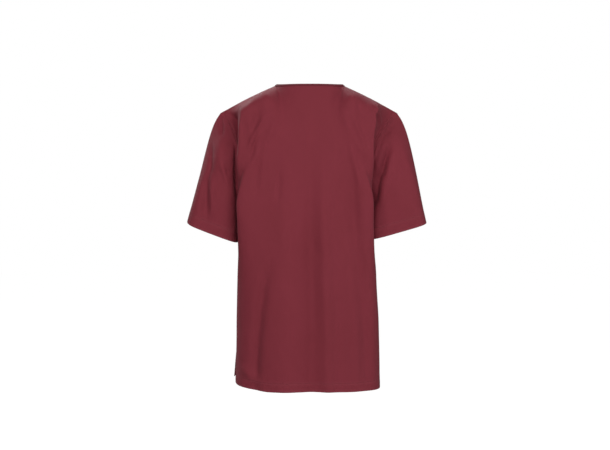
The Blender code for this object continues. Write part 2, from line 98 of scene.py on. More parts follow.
def lengthsDown(line):  # distance from the start, for points down axis 0
    steps = np.linalg.norm(np.diff(line, axis=0), axis=-1)
    return np.concatenate([np.zeros_like(steps[:1]), np.cumsum(steps, axis=0)])


def lengthsAcross(grid):
    return np.swapaxes(lengthsDown(np.swapaxes(grid, 0, 1)), 0, 1)


def pointsAt(line, distances):
    along = lengthsDown(line)
    return xyz(*(np.interp(distances, along, line[:, k]) for k in range(3)))


def bezier(controls, share):
    t = share[:, None, None]
    n = len(controls) - 1
    return sum(math.comb(n, k) * (1 - t) ** (n - k) * t**k * p for k, p in enumerate(controls))


def within(distance, start, stop):  # 1 up to the start, and nothing past the stop
    return 1.0 - smooth(distance, start, stop)


def swell(value, start, stop, fade=0.3):  # how strongly something shows between its ends
    ends = fade * (stop - start)
    return smooth(value, start, start + ends) * within(value, stop - ends, stop)


def dip(distance, reach):  # strongest at no distance, and nearly gone at twice the reach
    return np.exp(-((distance / reach) ** 2))


def gridNormals(grid, closed=False):
    if closed:
        around = np.roll(grid, -1, axis=1) - np.roll(grid, 1, axis=1)
    else:
        around = np.gradient(grid, axis=1)
    return unit(np.cross(around, np.gradient(grid, axis=0)))


def mixWays(ways, other, share):
    return unit(ways * (1.0 - share[..., None]) + other * share[..., None])


def squaredCircle(turn, squareness):  # a circle's cosine and sine, pushed out towards a square
    both = np.cos(turn), np.sin(turn)
    return (np.sign(part) * np.abs(part) ** (2.0 / squareness) for part in both)


def softNoise(u, v, cellU, cellV, seed):  # rounded random swells about 0, one for each cell
    size, offset = 128, 400.0     # cells before it repeats, and a shift that keeps them positive
    lattice = np.random.default_rng(seed).uniform(-1.0, 1.0, (size, size))
    u, v = np.broadcast_arrays(u / cellU + offset, v / cellV + offset)
    iu, iv = np.floor(u).astype(int), np.floor(v).astype(int)
    fu, fv = smooth(u - iu, 0.0, 1.0), smooth(v - iv, 0.0, 1.0)
    corner = [[lattice[(iu + a) % size, (iv + b) % size] for b in (0, 1)] for a in (0, 1)]
    low = corner[0][0] * (1 - fu) + corner[1][0] * fu
    high = corner[0][1] * (1 - fu) + corner[1][1] * fu
    return low * (1 - fv) + high * fv


# A crease lies on a piece between two ends, each as its x and its level.
# The bow bends the line sideways, the lean makes one flank steeper, and a trough has
# a negative height.
Crease = namedtuple("Crease", "acrossA downA acrossB downB bow width height lean", defaults=(0.0,))


def creaseHeights(creases, across, down):
    height = np.zeros(np.broadcast(across, down).shape)
    for crease in creases:
        length = math.hypot(crease.acrossB - crease.acrossA, crease.downB - crease.downA)
        wayAcross = (crease.acrossB - crease.acrossA) / length
        wayDown = (crease.downB - crease.downA) / length
        x, y = across - crease.acrossA, down - crease.downA
        share = (x * wayAcross + y * wayDown) / length
        aside = x * wayDown - y * wayAcross - 4.0 * crease.bow * share * (1.0 - share)
        width = crease.width * (1.0 + crease.lean * np.sign(aside))
        height += crease.height * dip(aside, width) * swell(share, 0.0, 1.0, 0.4)
    return height


# The cut of the whole top. Its two panels follow, and its sleeves have a dictionary further on.
cut = {
    "neckHalfWidth": 0.0860,
    "neckBackDepth": 0.088,
    "neckBackDrop": 0.0092,
    "neckBackFullness": 0.72,
    "neckCornerDrop": -0.0008,
    "neckCornerTurn": 3.5,    # the higher, the nearer to the corners the back neck rises
    "neckSlant": 0.0010,      # how much lower the right side of the neck lies
    "neckSlantFrom": 0.30,    # shares run from the middle of a panel (0) to its edge (1)
    "neckFrontDepth": 0.098,
    "vDepth": 0.150,
    "vBowOut": 2.4,
    "vBowDown": 1.25,
    "shoulderHalfWidth": 0.2170,
    "shoulderDrop": 0.0652,
    "shoulderBow": 0.0028,
    "levelShare": 0.4,        # past this share a section slopes to its edge's level
    "uprightFrom": 0.7,       # and past this one the cloth hangs straighter
    "armholeTurn": 0.86,      # and here the armhole's edge turns under
    "underarmWay": (0.90, 0.32),  # to the side seam, and down
    "underarmPull": (0.36, 0.12),
    "sideDepth": -0.004,
    "ventLevel": 0.597,
    "ventStart": 0.004,       # the side seam opens over this length
    "ventCalm": 0.08,         # and folds come up to the edge over this one
    "seamCalm": 0.12,         # above it they fade out over this share
    "shoulderCalm": 0.03,     # the shoulder seam starts to sink over this share
    "neckShare": 0.5,         # share of a half panel that starts on the neck
    "hemTilt": 0.0022,        # up at the left edge, and down at the right
    "hemKick": {1: 0.0180, -1: 0.0050},  # rise of the back hem's left and right ends
    "hemKickWidth": 0.165,
    "hemKickCurve": 1.2,
    "cornerRise": 0.8,        # height of a rounded hem corner, by its width
    "hemReach": 0.105,        # the hem's shape fades out this far up
    "hemStitch": 0.020,
    "ventStitch": 0.008,
    "seamStitch": 0.0065,     # topstitching beside the armholes and shoulder seams
    "seamRidge": {"top": 0.060, "foot": 0.200, "height": 0.0090, "reach": 0.0070},
    "neckEase": {"passes": 80, "width": 0.07, "top": (0.004, 0.020), "foot": (0.070, 0.120)},
}

# A Section is a panel's line at one level, with the level and place of its edge.
# A Leaving says how the cloth turns down off the shoulder, by its share of the half panel.
# A Fold runs down a panel from its top to its foot, past three places across it.
Spread = namedtuple("Spread", "half share")
Section = namedtuple("Section", "level edgeLevel halfWidth depth edgeX edgeY squareness")
Sway = namedtuple("Sway", "level left")
Leaving = namedtuple("Leaving", "share drop squareness")
Fold = namedtuple("Fold", "acrossTop acrossMiddle acrossFoot top foot width height")

sideY = cut["sideDepth"]
columnSpread = (              # where the columns stand along a level section
    Spread(0.00, 0.00),
    Spread(0.50, 0.46),
    Spread(0.82, 0.735),
    Spread(1.00, 1.00),
)
sways = (                     # how far the top leans to its left, by level
    Sway(0.000, -0.0068),
    Sway(0.050, -0.0052),
    Sway(0.072, -0.0045),
    Sway(0.150, 0.0045),
    Sway(0.300, 0.0045),
    Sway(0.470, -0.0003),
    Sway(0.600, -0.0024),
    Sway(0.750, -0.0024),
)

backPanel = {
    "facing": 1,
    "corner": 0.022,          # rounding of the hem's corners
    "crown": 0.009,           # how far the back curves away towards its edges
    "sections": (
        Section(0.1500, 0.185, 0.1680, 0.117, 0.1640, 0.047, 22.0),
        Section(0.3000, 0.300, 0.1680, 0.123, 0.1600, sideY, 22.0),
        Section(0.3600, 0.360, 0.1690, 0.124, 0.1610, sideY, 11.0),
        Section(0.4700, 0.470, 0.1715, 0.124, 0.1700, sideY, 6.5),
        Section(0.5970, 0.597, 0.1765, 0.124, 0.1755, sideY, 4.8),
        Section(0.7475, 0.7475, 0.1795, 0.125, 0.1780, 0.008, 3.8),
    ),
    "leaving": {              # by side: the wearer's left, then the right
        1: (
            Leaving(0.00, 0.0600, 2.2),
            Leaving(0.20, 0.0550, 2.3),
            Leaving(0.32, 0.0450, 2.6),
            Leaving(0.40, 0.0270, 3.6),
            Leaving(0.46, 0.0205, 5.0),
            Leaving(0.52, 0.0230, 7.0),
            Leaving(0.60, 0.0250, 8.0),
            Leaving(0.70, 0.0245, 11.0),
            Leaving(0.77, 0.0270, 18.0),
            Leaving(0.84, 0.0320, 18.0),
            Leaving(0.89, 0.0480, 6.0),
            Leaving(0.94, 0.0660, 4.0),
            Leaving(1.00, 0.0730, 3.6),
        ),
        -1: (
            Leaving(0.00, 0.0600, 2.2),
            Leaving(0.20, 0.0550, 2.3),
            Leaving(0.32, 0.0430, 2.6),
            Leaving(0.40, 0.0240, 3.6),
            Leaving(0.46, 0.0205, 5.0),
            Leaving(0.54, 0.0220, 6.0),
            Leaving(0.64, 0.0185, 5.0),
            Leaving(0.77, 0.0155, 5.0),
            Leaving(0.84, 0.0185, 8.0),
            Leaving(0.90, 0.0300, 8.0),
            Leaving(0.95, 0.0500, 5.0),
            Leaving(1.00, 0.0730, 2.3),
        ),
    },
    "folds": (
        Fold(-0.043, -0.044, -0.054, 0.110, 1.000, 0.017, 0.0095),
        Fold(-0.012, -0.009, -0.004, 0.150, 1.000, 0.015, -0.0050),
        Fold(0.040, 0.047, 0.050, 0.140, 1.000, 0.033, 0.0090),
        Fold(-0.078, -0.132, -0.141, 0.150, 0.820, 0.019, -0.0095),
        Fold(0.080, 0.119, 0.124, 0.400, 0.800, 0.013, -0.0090),
        Fold(0.085, 0.086, 0.090, 0.220, 1.300, 0.052, 0.0120),
        Fold(0.070, 0.108, 0.160, 0.070, 0.240, 0.014, 0.0035),
        Fold(-0.090, -0.124, -0.165, 0.060, 0.200, 0.014, 0.0030),
    ),
    "creases": (
        Crease(0.1085, 0.045, 0.1400, 0.150, 0.0, 0.0110, -0.0055),
        Crease(0.0892, 0.070, 0.1500, 0.180, 0.0040, 0.0055, 0.0042),
        Crease(0.1180, 0.122, 0.1390, 0.198, 0.0, 0.0045, -0.0032),
        Crease(0.1085, 0.132, 0.1260, 0.292, 0.0, 0.0060, -0.0032),
        Crease(0.0652, 0.205, 0.0710, 0.305, 0.0, 0.0060, -0.0022),
        Crease(0.1518, 0.082, 0.1446, 0.168, 0.0, 0.0075, -0.0035),
        Crease(0.1660, 0.690, 0.1000, 0.738, 0.0, 0.0120, 0.0050),
        Crease(-0.1226, 0.034, -0.1332, 0.110, 0.0, 0.0110, -0.0045),
        Crease(-0.1009, 0.066, -0.1486, 0.180, 0.0, 0.0055, 0.0036),
        Crease(-0.0937, 0.118, -0.1342, 0.280, 0.0, 0.0065, 0.0034),
        Crease(-0.1057, 0.175, -0.1226, 0.395, 0.0, 0.0100, -0.0045),
        Crease(-0.0649, 0.105, -0.0649, 0.420, 0.0, 0.0130, 0.0026),
        Crease(-0.1650, 0.056, -0.1838, 0.112, -0.0035, 0.0036, 0.0060),
        Crease(-0.1565, 0.054, -0.1765, 0.112, -0.0040, 0.0042, -0.0035),
    ),
    "tuck": {                 # the left armhole's hollow beside the flat of the back
        "x": 0.1660,
        "top": 0.064,
        "foot": 0.185,
        "reach": 0.034,
        "depth": 0.034,
        "edge": 0.006,        # how sharply it starts
        "fade": 0.2,
    },
    "seed": 21,
}

frontLeaving = (
    Leaving(0.00, 0.0420, 2.2),
    Leaving(0.25, 0.0660, 2.2),
    Leaving(0.42, 0.0760, 2.2),
    Leaving(0.55, 0.0600, 2.2),
    Leaving(0.70, 0.0490, 2.4),
    Leaving(0.81, 0.0580, 3.2),
    Leaving(0.90, 0.0740, 3.2),
    Leaving(1.00, 0.0780, 3.0),
)

frontPanel = {
    "facing": -1,
    "corner": 0.002,
    "crown": 0.0,
    "sections": (
        Section(0.235, 0.185, 0.1680, -0.122, 0.1640, -0.058, 3.4),
        Section(0.300, 0.300, 0.1690, -0.128, 0.1600, sideY, 3.4),
        Section(0.360, 0.360, 0.1700, -0.132, 0.1610, sideY, 3.2),
        Section(0.470, 0.470, 0.1725, -0.133, 0.1700, sideY, 3.0),
        Section(0.597, 0.597, 0.1770, -0.132, 0.1755, sideY, 2.8),
        Section(0.729, 0.729, 0.1800, -0.130, 0.1800, -0.012, 2.8),
    ),
    "leaving": {1: frontLeaving, -1: frontLeaving},
    "folds": (
        Fold(0.235, 0.235, 0.235, 0.580, 1.200, 0.050, 0.0060),
        Fold(-0.030, -0.048, -0.060, 0.200, 1.000, 0.022, -0.0060),
        Fold(-0.105, -0.100, -0.110, 0.160, 1.000, 0.020, 0.0055),
        Fold(0.020, 0.012, 0.004, 0.240, 1.000, 0.024, 0.0050),
        Fold(0.085, 0.072, 0.082, 0.180, 1.000, 0.020, -0.0060),
        Fold(0.130, 0.132, 0.140, 0.240, 1.000, 0.022, 0.0055),
        Fold(-0.100, -0.130, -0.170, 0.070, 0.250, 0.014, 0.0035),
    ),
    "creases": (
        Crease(0.1085, 0.080, 0.1400, 0.170, 0.0, 0.0090, -0.0028),
        Crease(0.0950, 0.110, 0.1480, 0.205, 0.0040, 0.0060, 0.0026),
        Crease(0.0700, 0.230, 0.0780, 0.330, 0.0, 0.0070, -0.0016),
        Crease(-0.1080, 0.085, -0.1450, 0.185, 0.0, 0.0080, 0.0026),
        Crease(-0.1240, 0.100, -0.1560, 0.215, 0.0, 0.0060, -0.0026),
        Crease(-0.0850, 0.240, -0.0950, 0.400, 0.0, 0.0090, -0.0022),
        Crease(0.0300, 0.180, 0.0400, 0.270, 0.0, 0.0080, 0.0016),
    ),
    "seed": 25,
}

# Rows and columns of the meshes. They crowd together at seams, stitch lines and edges.
fine = {
    "columns": 112,           # to each side of a panel's middle
    "armholeRows": 84,
    "bodyRows": 84,
    "sleeveRows": 84,
    "neckPoints": 160,        # close points, which the rows and columns are then read from
    "sectionPoints": 400,
    "columnPoints": 70,
    "sleevePoints": 200,
    "panelReach": 0.255,      # half a panel's width along the cloth
    # metres from a sewn edge, a stitch line, the rows beside them, a hem's fold and its stitches
    "atEdge": np.array((0.0, 0.5, 1.1, 1.8, 2.7, 3.8, 5.2)) / 1000,
    "atStitch": np.array((-0.7, 0.0, 0.7, 1.7)) / 1000,
    "besideSide": np.array((9.8, 12.0, 14.5)) / 1000,
    "besideTop": np.array((9.8, 12.5)) / 1000,
    "besideSleeveTop": 0.007,
    "besideCuff": 0.019,
    "atFold": np.array((0.0, 0.3, 0.8, 1.6, 2.8, 4.4, 6.2, 8.5, 11.0, 13.5, 16.0)) / 1000,
    "atTurning": np.array((-2.0, -1.0, -0.4, 0.0, 0.5, 1.2, 2.4, 4.2)) / 1000,
}


def neckEdge(panel, share):  # half of it, from the middle (0) to the shoulder (1)
    if panel["facing"] > 0:
        turn = share * math.pi / 2
        fullness = cut["neckBackFullness"]
        rise = share ** cut["neckCornerTurn"]
        x = cut["neckHalfWidth"] * np.sin(turn) ** fullness
        level = cut["neckBackDrop"] + (cut["neckCornerDrop"] - cut["neckBackDrop"]) * rise
        return xyz(x, cut["neckBackDepth"] * np.cos(turn) ** fullness, -level)
    y = -cut["neckFrontDepth"] * (1.0 - share ** cut["vBowOut"])
    drop = (cut["vDepth"] - cut["neckCornerDrop"]) * (1.0 - share) ** cut["vBowDown"]
    return xyz(cut["neckHalfWidth"] * share, y, -cut["neckCornerDrop"] - drop)


def topEdge(panel, across):  # the neck edge and then the shoulder seam
    half = np.abs(across)
    neck = neckEdge(panel, np.linspace(0.0, 1.0, fine["neckPoints"]))
    neck = pointsAt(neck, lengthsDown(neck)[-1] * np.clip(half / cut["neckShare"], 0.0, 1.0))
    share = np.clip((half - cut["neckShare"]) / (1.0 - cut["neckShare"]), 0.0, 1.0)
    x = cut["neckHalfWidth"] + (cut["shoulderHalfWidth"] - cut["neckHalfWidth"]) * share
    z = -cut["neckCornerDrop"] - (cut["shoulderDrop"] - cut["neckCornerDrop"]) * share
    seam = xyz(x, 0.0, z + cut["shoulderBow"] * np.sin(math.pi * share))
    edge = np.where((half <= cut["neckShare"])[:, None], neck, seam)
    edge[:, 2] -= cut["neckSlant"] * swell(-across, cut["neckSlantFrom"], 1.0, 0.4)
    return edge


def levelSection(panel, row, half):
    turn = np.linspace(0.0, math.pi / 2, fine["sectionPoints"])
    power = 2.0 / row.squareness
    spread = (row.edgeX - row.halfWidth) * smooth(turn, 1.0, math.pi / 2)
    x = row.halfWidth * np.sin(turn) ** power
    depth = row.depth - panel["crown"] * (x / row.halfWidth) ** 2
    line = xyz(x + spread, row.edgeY + (depth - row.edgeY) * np.cos(turn) ** power, 0.0)
    share = follow(columnSpread, "half", half, "share", columnSpread[1].share / columnSpread[1].half)
    points = pointsAt(line, lengthsDown(line)[-1] * share)
    tilt = smooth(half, cut["levelShare"], 1.0)
    points[:, 2] = -row.level - (row.edgeLevel - row.level) * tilt
    return points


def leavingAt(panel, across):
    tables = panel["leaving"]
    found = []
    for name in ("drop", "squareness"):
        left, right = (follow(tables[side], "share", np.abs(across), name) for side in (1, -1))
        found.append(np.where(across > 0.0, left, right))
    return found


def overShoulder(panel, across, top, first, steps):  # a slope from the edge, a knee, then down
    drop, squareness = leavingAt(panel, across)
    knee = xyz(first[:, 0], first[:, 1], top[:, 2] - drop)
    power = 2.0 / squareness
    turn = np.linspace(0.0, math.pi / 2, steps + 1)[:, None]
    onTop = 1.0 - np.sin(turn) ** power
    onBody = 1.0 - np.clip(np.cos(turn), 0.0, 1.0) ** power
    return knee + (top - knee) * onTop[..., None] + (first - knee) * onBody[..., None]


def downBody(panel, k, half, stations):
    start, end = stations[k - 1], stations[k]
    run = np.linalg.norm(end - start, axis=1)[:, None]
    down = np.array([0.0, 0.0, -1.0])
    leave = arrive = down
    atSide = smooth(half, cut["uprightFrom"], 1.0)[:, None]
    if k == 1:  # past the armhole, where the edge turns under to the side seam
        turn = smooth(half, cut["armholeTurn"], 1.0)[:, None]
        under, below = cut["underarmWay"]
        rounding = unit(np.array([0.0, -under * panel["facing"], -below]))
        arrive = unit(down * (1 - turn) + rounding * turn)
        pull, morePull = cut["underarmPull"]
        return start, start + down * run / 3, end - arrive * run * (pull + morePull * turn), end
    if k > 2:
        leave = unit(end - stations[k - 2])
    if k + 1 < len(stations):
        arrive = unit(stations[k + 1] - start)
        arrive = unit(arrive * (1 - atSide) + down * atSide)
    else:
        arrive = unit(end - start)
    leave = unit(leave * (1 - atSide) + down * atSide)
    return start, start + leave * run / 3, end - arrive * run / 3, end


def fallingColumns(panel, across):  # close points down each column
    half, steps = np.abs(across), fine["columnPoints"]
    stations = [levelSection(panel, row, half) for row in panel["sections"]]
    share = np.linspace(0.0, 1.0, steps + 1)
    pieces = [overShoulder(panel, across, topEdge(panel, across), stations[0], steps)]
    for k in range(1, len(stations)):
        pieces.append(bezier(downBody(panel, k, half, stations), share)[1:])
    columns = np.concatenate(pieces)
    columns[..., 0] *= np.sign(across)
    columns[..., 0] += lookUp(sways, "level", -columns[..., 2], "left")
    return columns, 2 * steps


def crowded(even, start, stop, nearStart, nearStop):  # distances from start to stop
    middle = np.linspace(start + nearStart[-1], stop - nearStop[-1], even)
    return np.concatenate([start + nearStart[:-1], middle, stop - nearStop[:-1][::-1]])


def panelGrid(panel):
    stitch = cut["seamStitch"] + fine["atStitch"]
    near = np.concatenate([fine["atEdge"], stitch, fine["besideSide"]]) / fine["panelReach"]
    inner = np.linspace(1.0 - near[-1], 0.0, fine["columns"] - len(near) + 2)[1:]
    half = np.concatenate([1.0 - near, inner])
    across = np.concatenate([-half, half[-2::-1]])
    columns, underarm = fallingColumns(panel, across)
    top = np.concatenate([fine["atEdge"], stitch, fine["besideTop"]])
    hem = np.concatenate([fine["atFold"], cut["hemStitch"] + fine["atTurning"]])
    grid = []
    for k in range(len(across)):
        along = lengthsDown(columns[:, k])
        upper = crowded(fine["armholeRows"], 0.0, along[underarm], top, np.zeros(1))
        lower = crowded(fine["bodyRows"], along[underarm], along[-1], np.zeros(1), hem)
        grid.append(pointsAt(columns[:, k], np.concatenate([upper, lower[1:]])))
    return np.stack(grid, axis=1), across, fine["armholeRows"] + len(top) - 2


def foldHeights(folds, level, reach):
    height = np.zeros(level.shape)
    for fold in folds:
        share = (level - fold.top) / (fold.foot - fold.top)
        bend = fold.acrossMiddle - (fold.acrossTop + fold.acrossFoot) / 2
        centre = fold.acrossTop + (fold.acrossFoot - fold.acrossTop) * share
        centre = centre + 4.0 * bend * share * (1.0 - share)
        height += fold.height * dip(reach - centre, fold.width) * swell(level, fold.top, fold.foot)
    return height


def hemLift(panel, grid, across, toHem):
    fromRight = lengthsAcross(grid[-1:])[0]
    fromEdge = np.minimum(fromRight, fromRight[-1] - fromRight)
    into = np.clip(1.0 - fromEdge / panel["corner"], 0.0, 1.0)
    rise = cut["cornerRise"] * panel["corner"]
    lift = cut["hemTilt"] * across + rise * (1.0 - np.sqrt(1.0 - 0.98 * into**2))
    if panel["facing"] > 0:
        kick = np.clip(1.0 - fromEdge / cut["hemKickWidth"], 0.0, 1.0) ** cut["hemKickCurve"]
        lift = lift + kick * np.where(across > 0, cut["hemKick"][1], cut["hemKick"][-1])
    return lift * within(toHem, 0.0, cut["hemReach"])


def tuckDepth(tuck, grid, level):
    reach = lengthsAcross(grid)
    depth = tuck["depth"] * smooth(grid[..., 0], tuck["x"], tuck["x"] + tuck["edge"])
    depth = depth * smooth(reach[:, -1:] - reach, 0.0, tuck["reach"])
    return depth * swell(level, tuck["top"], tuck["foot"], tuck["fade"])


def easedCorners(grid, across):  # smooths the cloth just below the two neck corners
    down, ease = lengthsDown(grid), cut["neckEase"]
    share = dip(np.abs(across) - cut["neckShare"], ease["width"])[None, :]
    share = share * smooth(down, *ease["top"]) * within(down, *ease["foot"])
    for count in range(ease["passes"]):
        middle = (np.roll(grid, 1, axis=1) + np.roll(grid, -1, axis=1)) / 2
        grid = grid + (middle - grid) * share[..., None]
    return grid


def shapedPanel(panel):
    grid, across, underarmRow = panelGrid(panel)
    facing = panel["facing"]
    if facing > 0:
        grid = easedCorners(grid, across)
    level = -grid[..., 2]
    reach = lengthsAcross(grid)
    reach = reach - reach[:, [np.argmin(np.abs(across))]]
    heights = foldHeights(panel["folds"], level, reach)
    heights += creaseHeights(panel["creases"], grid[..., 0], level)
    sewn = within(level, cut["ventLevel"], cut["ventLevel"] + cut["ventCalm"])
    inside = smooth(1.0 - np.abs(across), 0.0, cut["seamCalm"])
    heights = heights * (1.0 - sewn * (1.0 - inside))
    grid = grid + gridNormals(grid) * (facing * heights)[..., None]
    if "tuck" in panel:
        grid[..., 1] -= tuckDepth(panel["tuck"], grid, level)
    down = lengthsDown(grid)
    grid[..., 2] += hemLift(panel, grid, across, down[-1] - down)
    down = lengthsDown(grid)
    fromRight = lengthsAcross(grid)
    normals = gridNormals(grid) * facing
    return {
        "core": grid,
        "normals": normals,
        "edgeWay": normals,                   # how the thickness goes at the edges
        "shift": np.zeros(grid.shape),        # how the seams move the whole thickness
        "across": across,
        "facing": facing,
        "underarmRow": underarmRow,
        "level": level,
        "reach": reach,
        "down": down,
        "toHem": down[-1] - down,
        "toSide": {-1: fromRight, 1: fromRight[:, -1:] - fromRight},
    }


# A Cuff lies between its outer and its inner end. The dip and the droop lower its back, and
# the falls say how far the cloth still runs outward as it comes down to each end.
Cuff = namedtuple(
    "Cuff",
    "outerX outerLevel innerX innerLevel halfDepth middleY dip droop outerFall innerFall",
)
SleeveLeaving = namedtuple("SleeveLeaving", "angle outward back down reach cuffReach")
SleeveFold = namedtuple("SleeveFold", "angleTop angleFoot start stop width height")

# How the cloth leaves the armhole, by its angle from the shoulder (0) over the back (90) to the
# underarm (180). The front half mirrors it, from there round to the shoulder again (360).
leavingBehind = (
    SleeveLeaving(0.0, 0.74, 0.00, 0.66, 0.16, 0.55),
    SleeveLeaving(40.0, 0.72, 0.35, 0.60, 0.22, 0.50),
    SleeveLeaving(90.0, 0.62, 0.42, 0.66, 0.26, 0.42),
    SleeveLeaving(140.0, 0.34, 0.16, 0.92, 0.30, 0.36),
    SleeveLeaving(180.0, 0.20, 0.00, 0.98, 0.33, 0.33),
)
leavingInFront = (row._replace(angle=360.0 - row.angle, back=-row.back) for row in leavingBehind[3::-1])

sleeve = {
    "squareness": 4.4,
    "cuffStitch": 0.025,
    "holeCalm": 0.012,        # no creases this near to the armhole and to the sleeve's seam
    "seamCalm": 0.020,
    "creaseTurn": 0.35,       # a crease fades where the sleeve turns to its other side
    "cuffs": {
        1: Cuff(0.2975, 0.3335, 0.1705, 0.386, 0.062, 0.003, 0.0098, 0.0024, 0.29, 0.09),
        -1: Cuff(0.2960, 0.3375, 0.1600, 0.380, 0.062, 0.003, 0.0060, 0.0018, 0.22, 0.10),
    },
    "leaving": (*leavingBehind, *leavingInFront),
    "folds": {
        1: (SleeveFold(250.0, 262.0, 0.15, 1.40, 16.0, -0.0040),),
        -1: (SleeveFold(268.0, 240.0, 0.10, 1.30, 15.0, -0.0040),),
    },
    "creases": {              # by side, then on the back (1) and on the front (-1)
        1: {
            1: (
                Crease(0.1700, 0.095, 0.1700, 0.300, 0.0, 0.0070, -0.0150),
                Crease(0.2157, 0.075, 0.2090, 0.135, 0.0, 0.0050, -0.0045),
                Crease(0.2353, 0.130, 0.2440, 0.240, 0.0, 0.0075, -0.0060),
                Crease(0.2400, 0.150, 0.2250, 0.290, 0.0, 0.0090, -0.0030),
                Crease(0.2480, 0.170, 0.2440, 0.370, 0.0030, 0.0125, -0.0095),
                Crease(0.2350, 0.200, 0.2230, 0.385, 0.0030, 0.0090, 0.0060),
                Crease(0.2110, 0.120, 0.2130, 0.225, 0.0, 0.0120, 0.0050),
                Crease(0.2133, 0.190, 0.1900, 0.262, 0.0, 0.0060, 0.0050),
            ),
            -1: (
                Crease(0.2250, 0.120, 0.2050, 0.260, 0.0, 0.0080, -0.0025),
                Crease(0.2500, 0.190, 0.2350, 0.350, 0.0060, 0.0070, 0.0028),
            ),
        },
        -1: {
            1: (
                Crease(-0.1870, 0.1172, -0.2120, 0.1172, 0.0, 0.0036, -0.0028),
                Crease(-0.1838, 0.104, -0.1590, 0.198, -0.0020, 0.0034, 0.0060),
                Crease(-0.2070, 0.132, -0.1714, 0.252, -0.0020, 0.0100, -0.0120),
                Crease(-0.1790, 0.205, -0.1610, 0.315, 0.0, 0.0080, -0.0090),
                Crease(-0.1720, 0.290, -0.1650, 0.420, 0.0, 0.0110, 0.0050),
                Crease(-0.2090, 0.150, -0.1788, 0.300, -0.0030, 0.0065, 0.0040),
                Crease(-0.2290, 0.180, -0.2080, 0.245, 0.0, 0.0050, 0.0014),
            ),
            -1: (
                Crease(-0.2150, 0.130, -0.1850, 0.250, 0.0, 0.0080, -0.0035),
                Crease(-0.2450, 0.170, -0.2300, 0.340, -0.0040, 0.0080, 0.0025),
            ),
        },
    },
    "seeds": {1: 31, -1: 41},
}


def armholeRing(side, panels):  # edge points, normals and angles, round from the shoulder
    rings = {"core": [], "normals": [], "angles": []}
    for panel in panels:
        edge = slice(0, panel["underarmRow"] + 1), -1 if side > 0 else 0
        rings["core"].append(panel["core"][edge])
        rings["normals"].append(panel["normals"][edge])
        turn = 180.0 * panel["down"][edge] / panel["down"][edge][-1]
        rings["angles"].append(turn if panel["facing"] > 0 else 360.0 - turn)
    return (np.concatenate([back[:-1], front[:0:-1]]) for back, front in rings.values())


def cuffRing(cuff, side, turn):
    middleX, halfX = (cuff.outerX + cuff.innerX) / 2, (cuff.outerX - cuff.innerX) / 2
    middle = (cuff.outerLevel + cuff.innerLevel) / 2
    rise = (cuff.innerLevel - cuff.outerLevel) / 2
    out, back = squaredCircle(turn, sleeve["squareness"])
    sag = (cuff.dip + cuff.droop * out) * back
    y = cuff.middleY + cuff.halfDepth * back
    return xyz(side * (middleX + halfX * out), y, -middle + rise * out - sag)


def sleeveColumns(side, hole, angles):  # close points down each column, with the long folds
    ways = {name: lookUp(sleeve["leaving"], "angle", angles, name) for name in SleeveLeaving._fields}
    leave = unit(xyz(side * ways["outward"], ways["back"], -ways["down"]))
    turn = np.radians(angles)
    cuff = sleeve["cuffs"][side]
    ring = cuffRing(cuff, side, turn)
    outer = (1.0 + np.cos(turn)) / 2
    hang = unit(xyz(side * (cuff.outerFall * outer + cuff.innerFall * (1.0 - outer)), 0.0, -1.0))
    run = np.linalg.norm(ring - hole, axis=1)
    first = hole + leave * (run * ways["reach"])[:, None]
    second = ring - hang * (run * ways["cuffReach"])[:, None]
    along = np.linspace(0.0, 1.0, fine["sleevePoints"])
    columns = bezier((hole, first, second, ring), along)
    height = np.zeros(columns.shape[:2])
    for fold in sleeve["folds"][side]:
        share = np.clip((along - fold.start) / (fold.stop - fold.start), 0.0, 1.0)
        centre = fold.angleTop + (fold.angleFoot - fold.angleTop) * share
        near = dip(angles[None, :] - centre[:, None], fold.width)
        height += fold.height * near * swell(along, fold.start, fold.stop)[:, None]
    return columns - side * gridNormals(columns, closed=True) * height[..., None]


def sleeveGrid(columns):
    stitch = sleeve["cuffStitch"] + fine["atTurning"]
    turning = np.concatenate([fine["atFold"], [fine["besideCuff"]], stitch])
    top = np.concatenate([fine["atEdge"], [fine["besideSleeveTop"]]])
    grid = []
    for k in range(columns.shape[1]):
        length = lengthsDown(columns[:, k])[-1]
        grid.append(pointsAt(columns[:, k], crowded(fine["sleeveRows"], 0.0, length, top, turning)))
    return np.stack(grid, axis=1)


def shapedSleeve(side, panels):
    hole, bodyNormals, angles = armholeRing(side, panels)
    half = len(hole) // 2                     # the mesh starts at the sleeve's own seam
    grid = np.roll(sleeveGrid(sleeveColumns(side, hole, angles)), -half, axis=1)
    down = lengthsDown(grid)
    around = lengthsAcross(np.concatenate([grid, grid[:, :1]], axis=1))   # right round to the start
    reach = around[:, :-1] - around[:, [half]]   # metres to the back of the outer line
    toSeam = np.minimum(around[:, :-1], around[:, -1:] - around[:, :-1])
    outward = -side * gridNormals(grid, closed=True)
    heights = np.zeros(down.shape)
    for facing, creases in sleeve["creases"][side].items():
        seen = smooth(facing * outward[..., 1], 0.0, sleeve["creaseTurn"])
        heights += creaseHeights(creases, grid[..., 0], -grid[..., 2]) * seen
    inside = smooth(down, 0.0, sleeve["holeCalm"]) * smooth(toSeam, 0.0, sleeve["seamCalm"])
    grid = grid + outward * (heights * inside)[..., None]
    normals = -side * gridNormals(grid, closed=True)
    return {
        "core": grid,
        "normals": normals,
        "edgeWay": normals,
        "shift": np.zeros(grid.shape),
        "bodyNormals": np.roll(bodyNormals, -half, axis=0),
        "half": half,
        "around": around,
        "reach": reach,
        "down": down,
        "toCuff": down[-1] - down,
        "toSeam": toSeam,
    }


# What meets at a seam moves together, so that the seam stays closed.
def seamRidge(side, facing, level, distance):  # the fold that stands along the right armhole
    if side > 0:
        return np.zeros(np.broadcast(level, distance).shape)
    ridge = cut["seamRidge"]
    shown = swell(level, ridge["top"], ridge["foot"], 0.35) * (facing > 0)
    return ridge["height"] * shown * dip(distance, ridge["reach"])


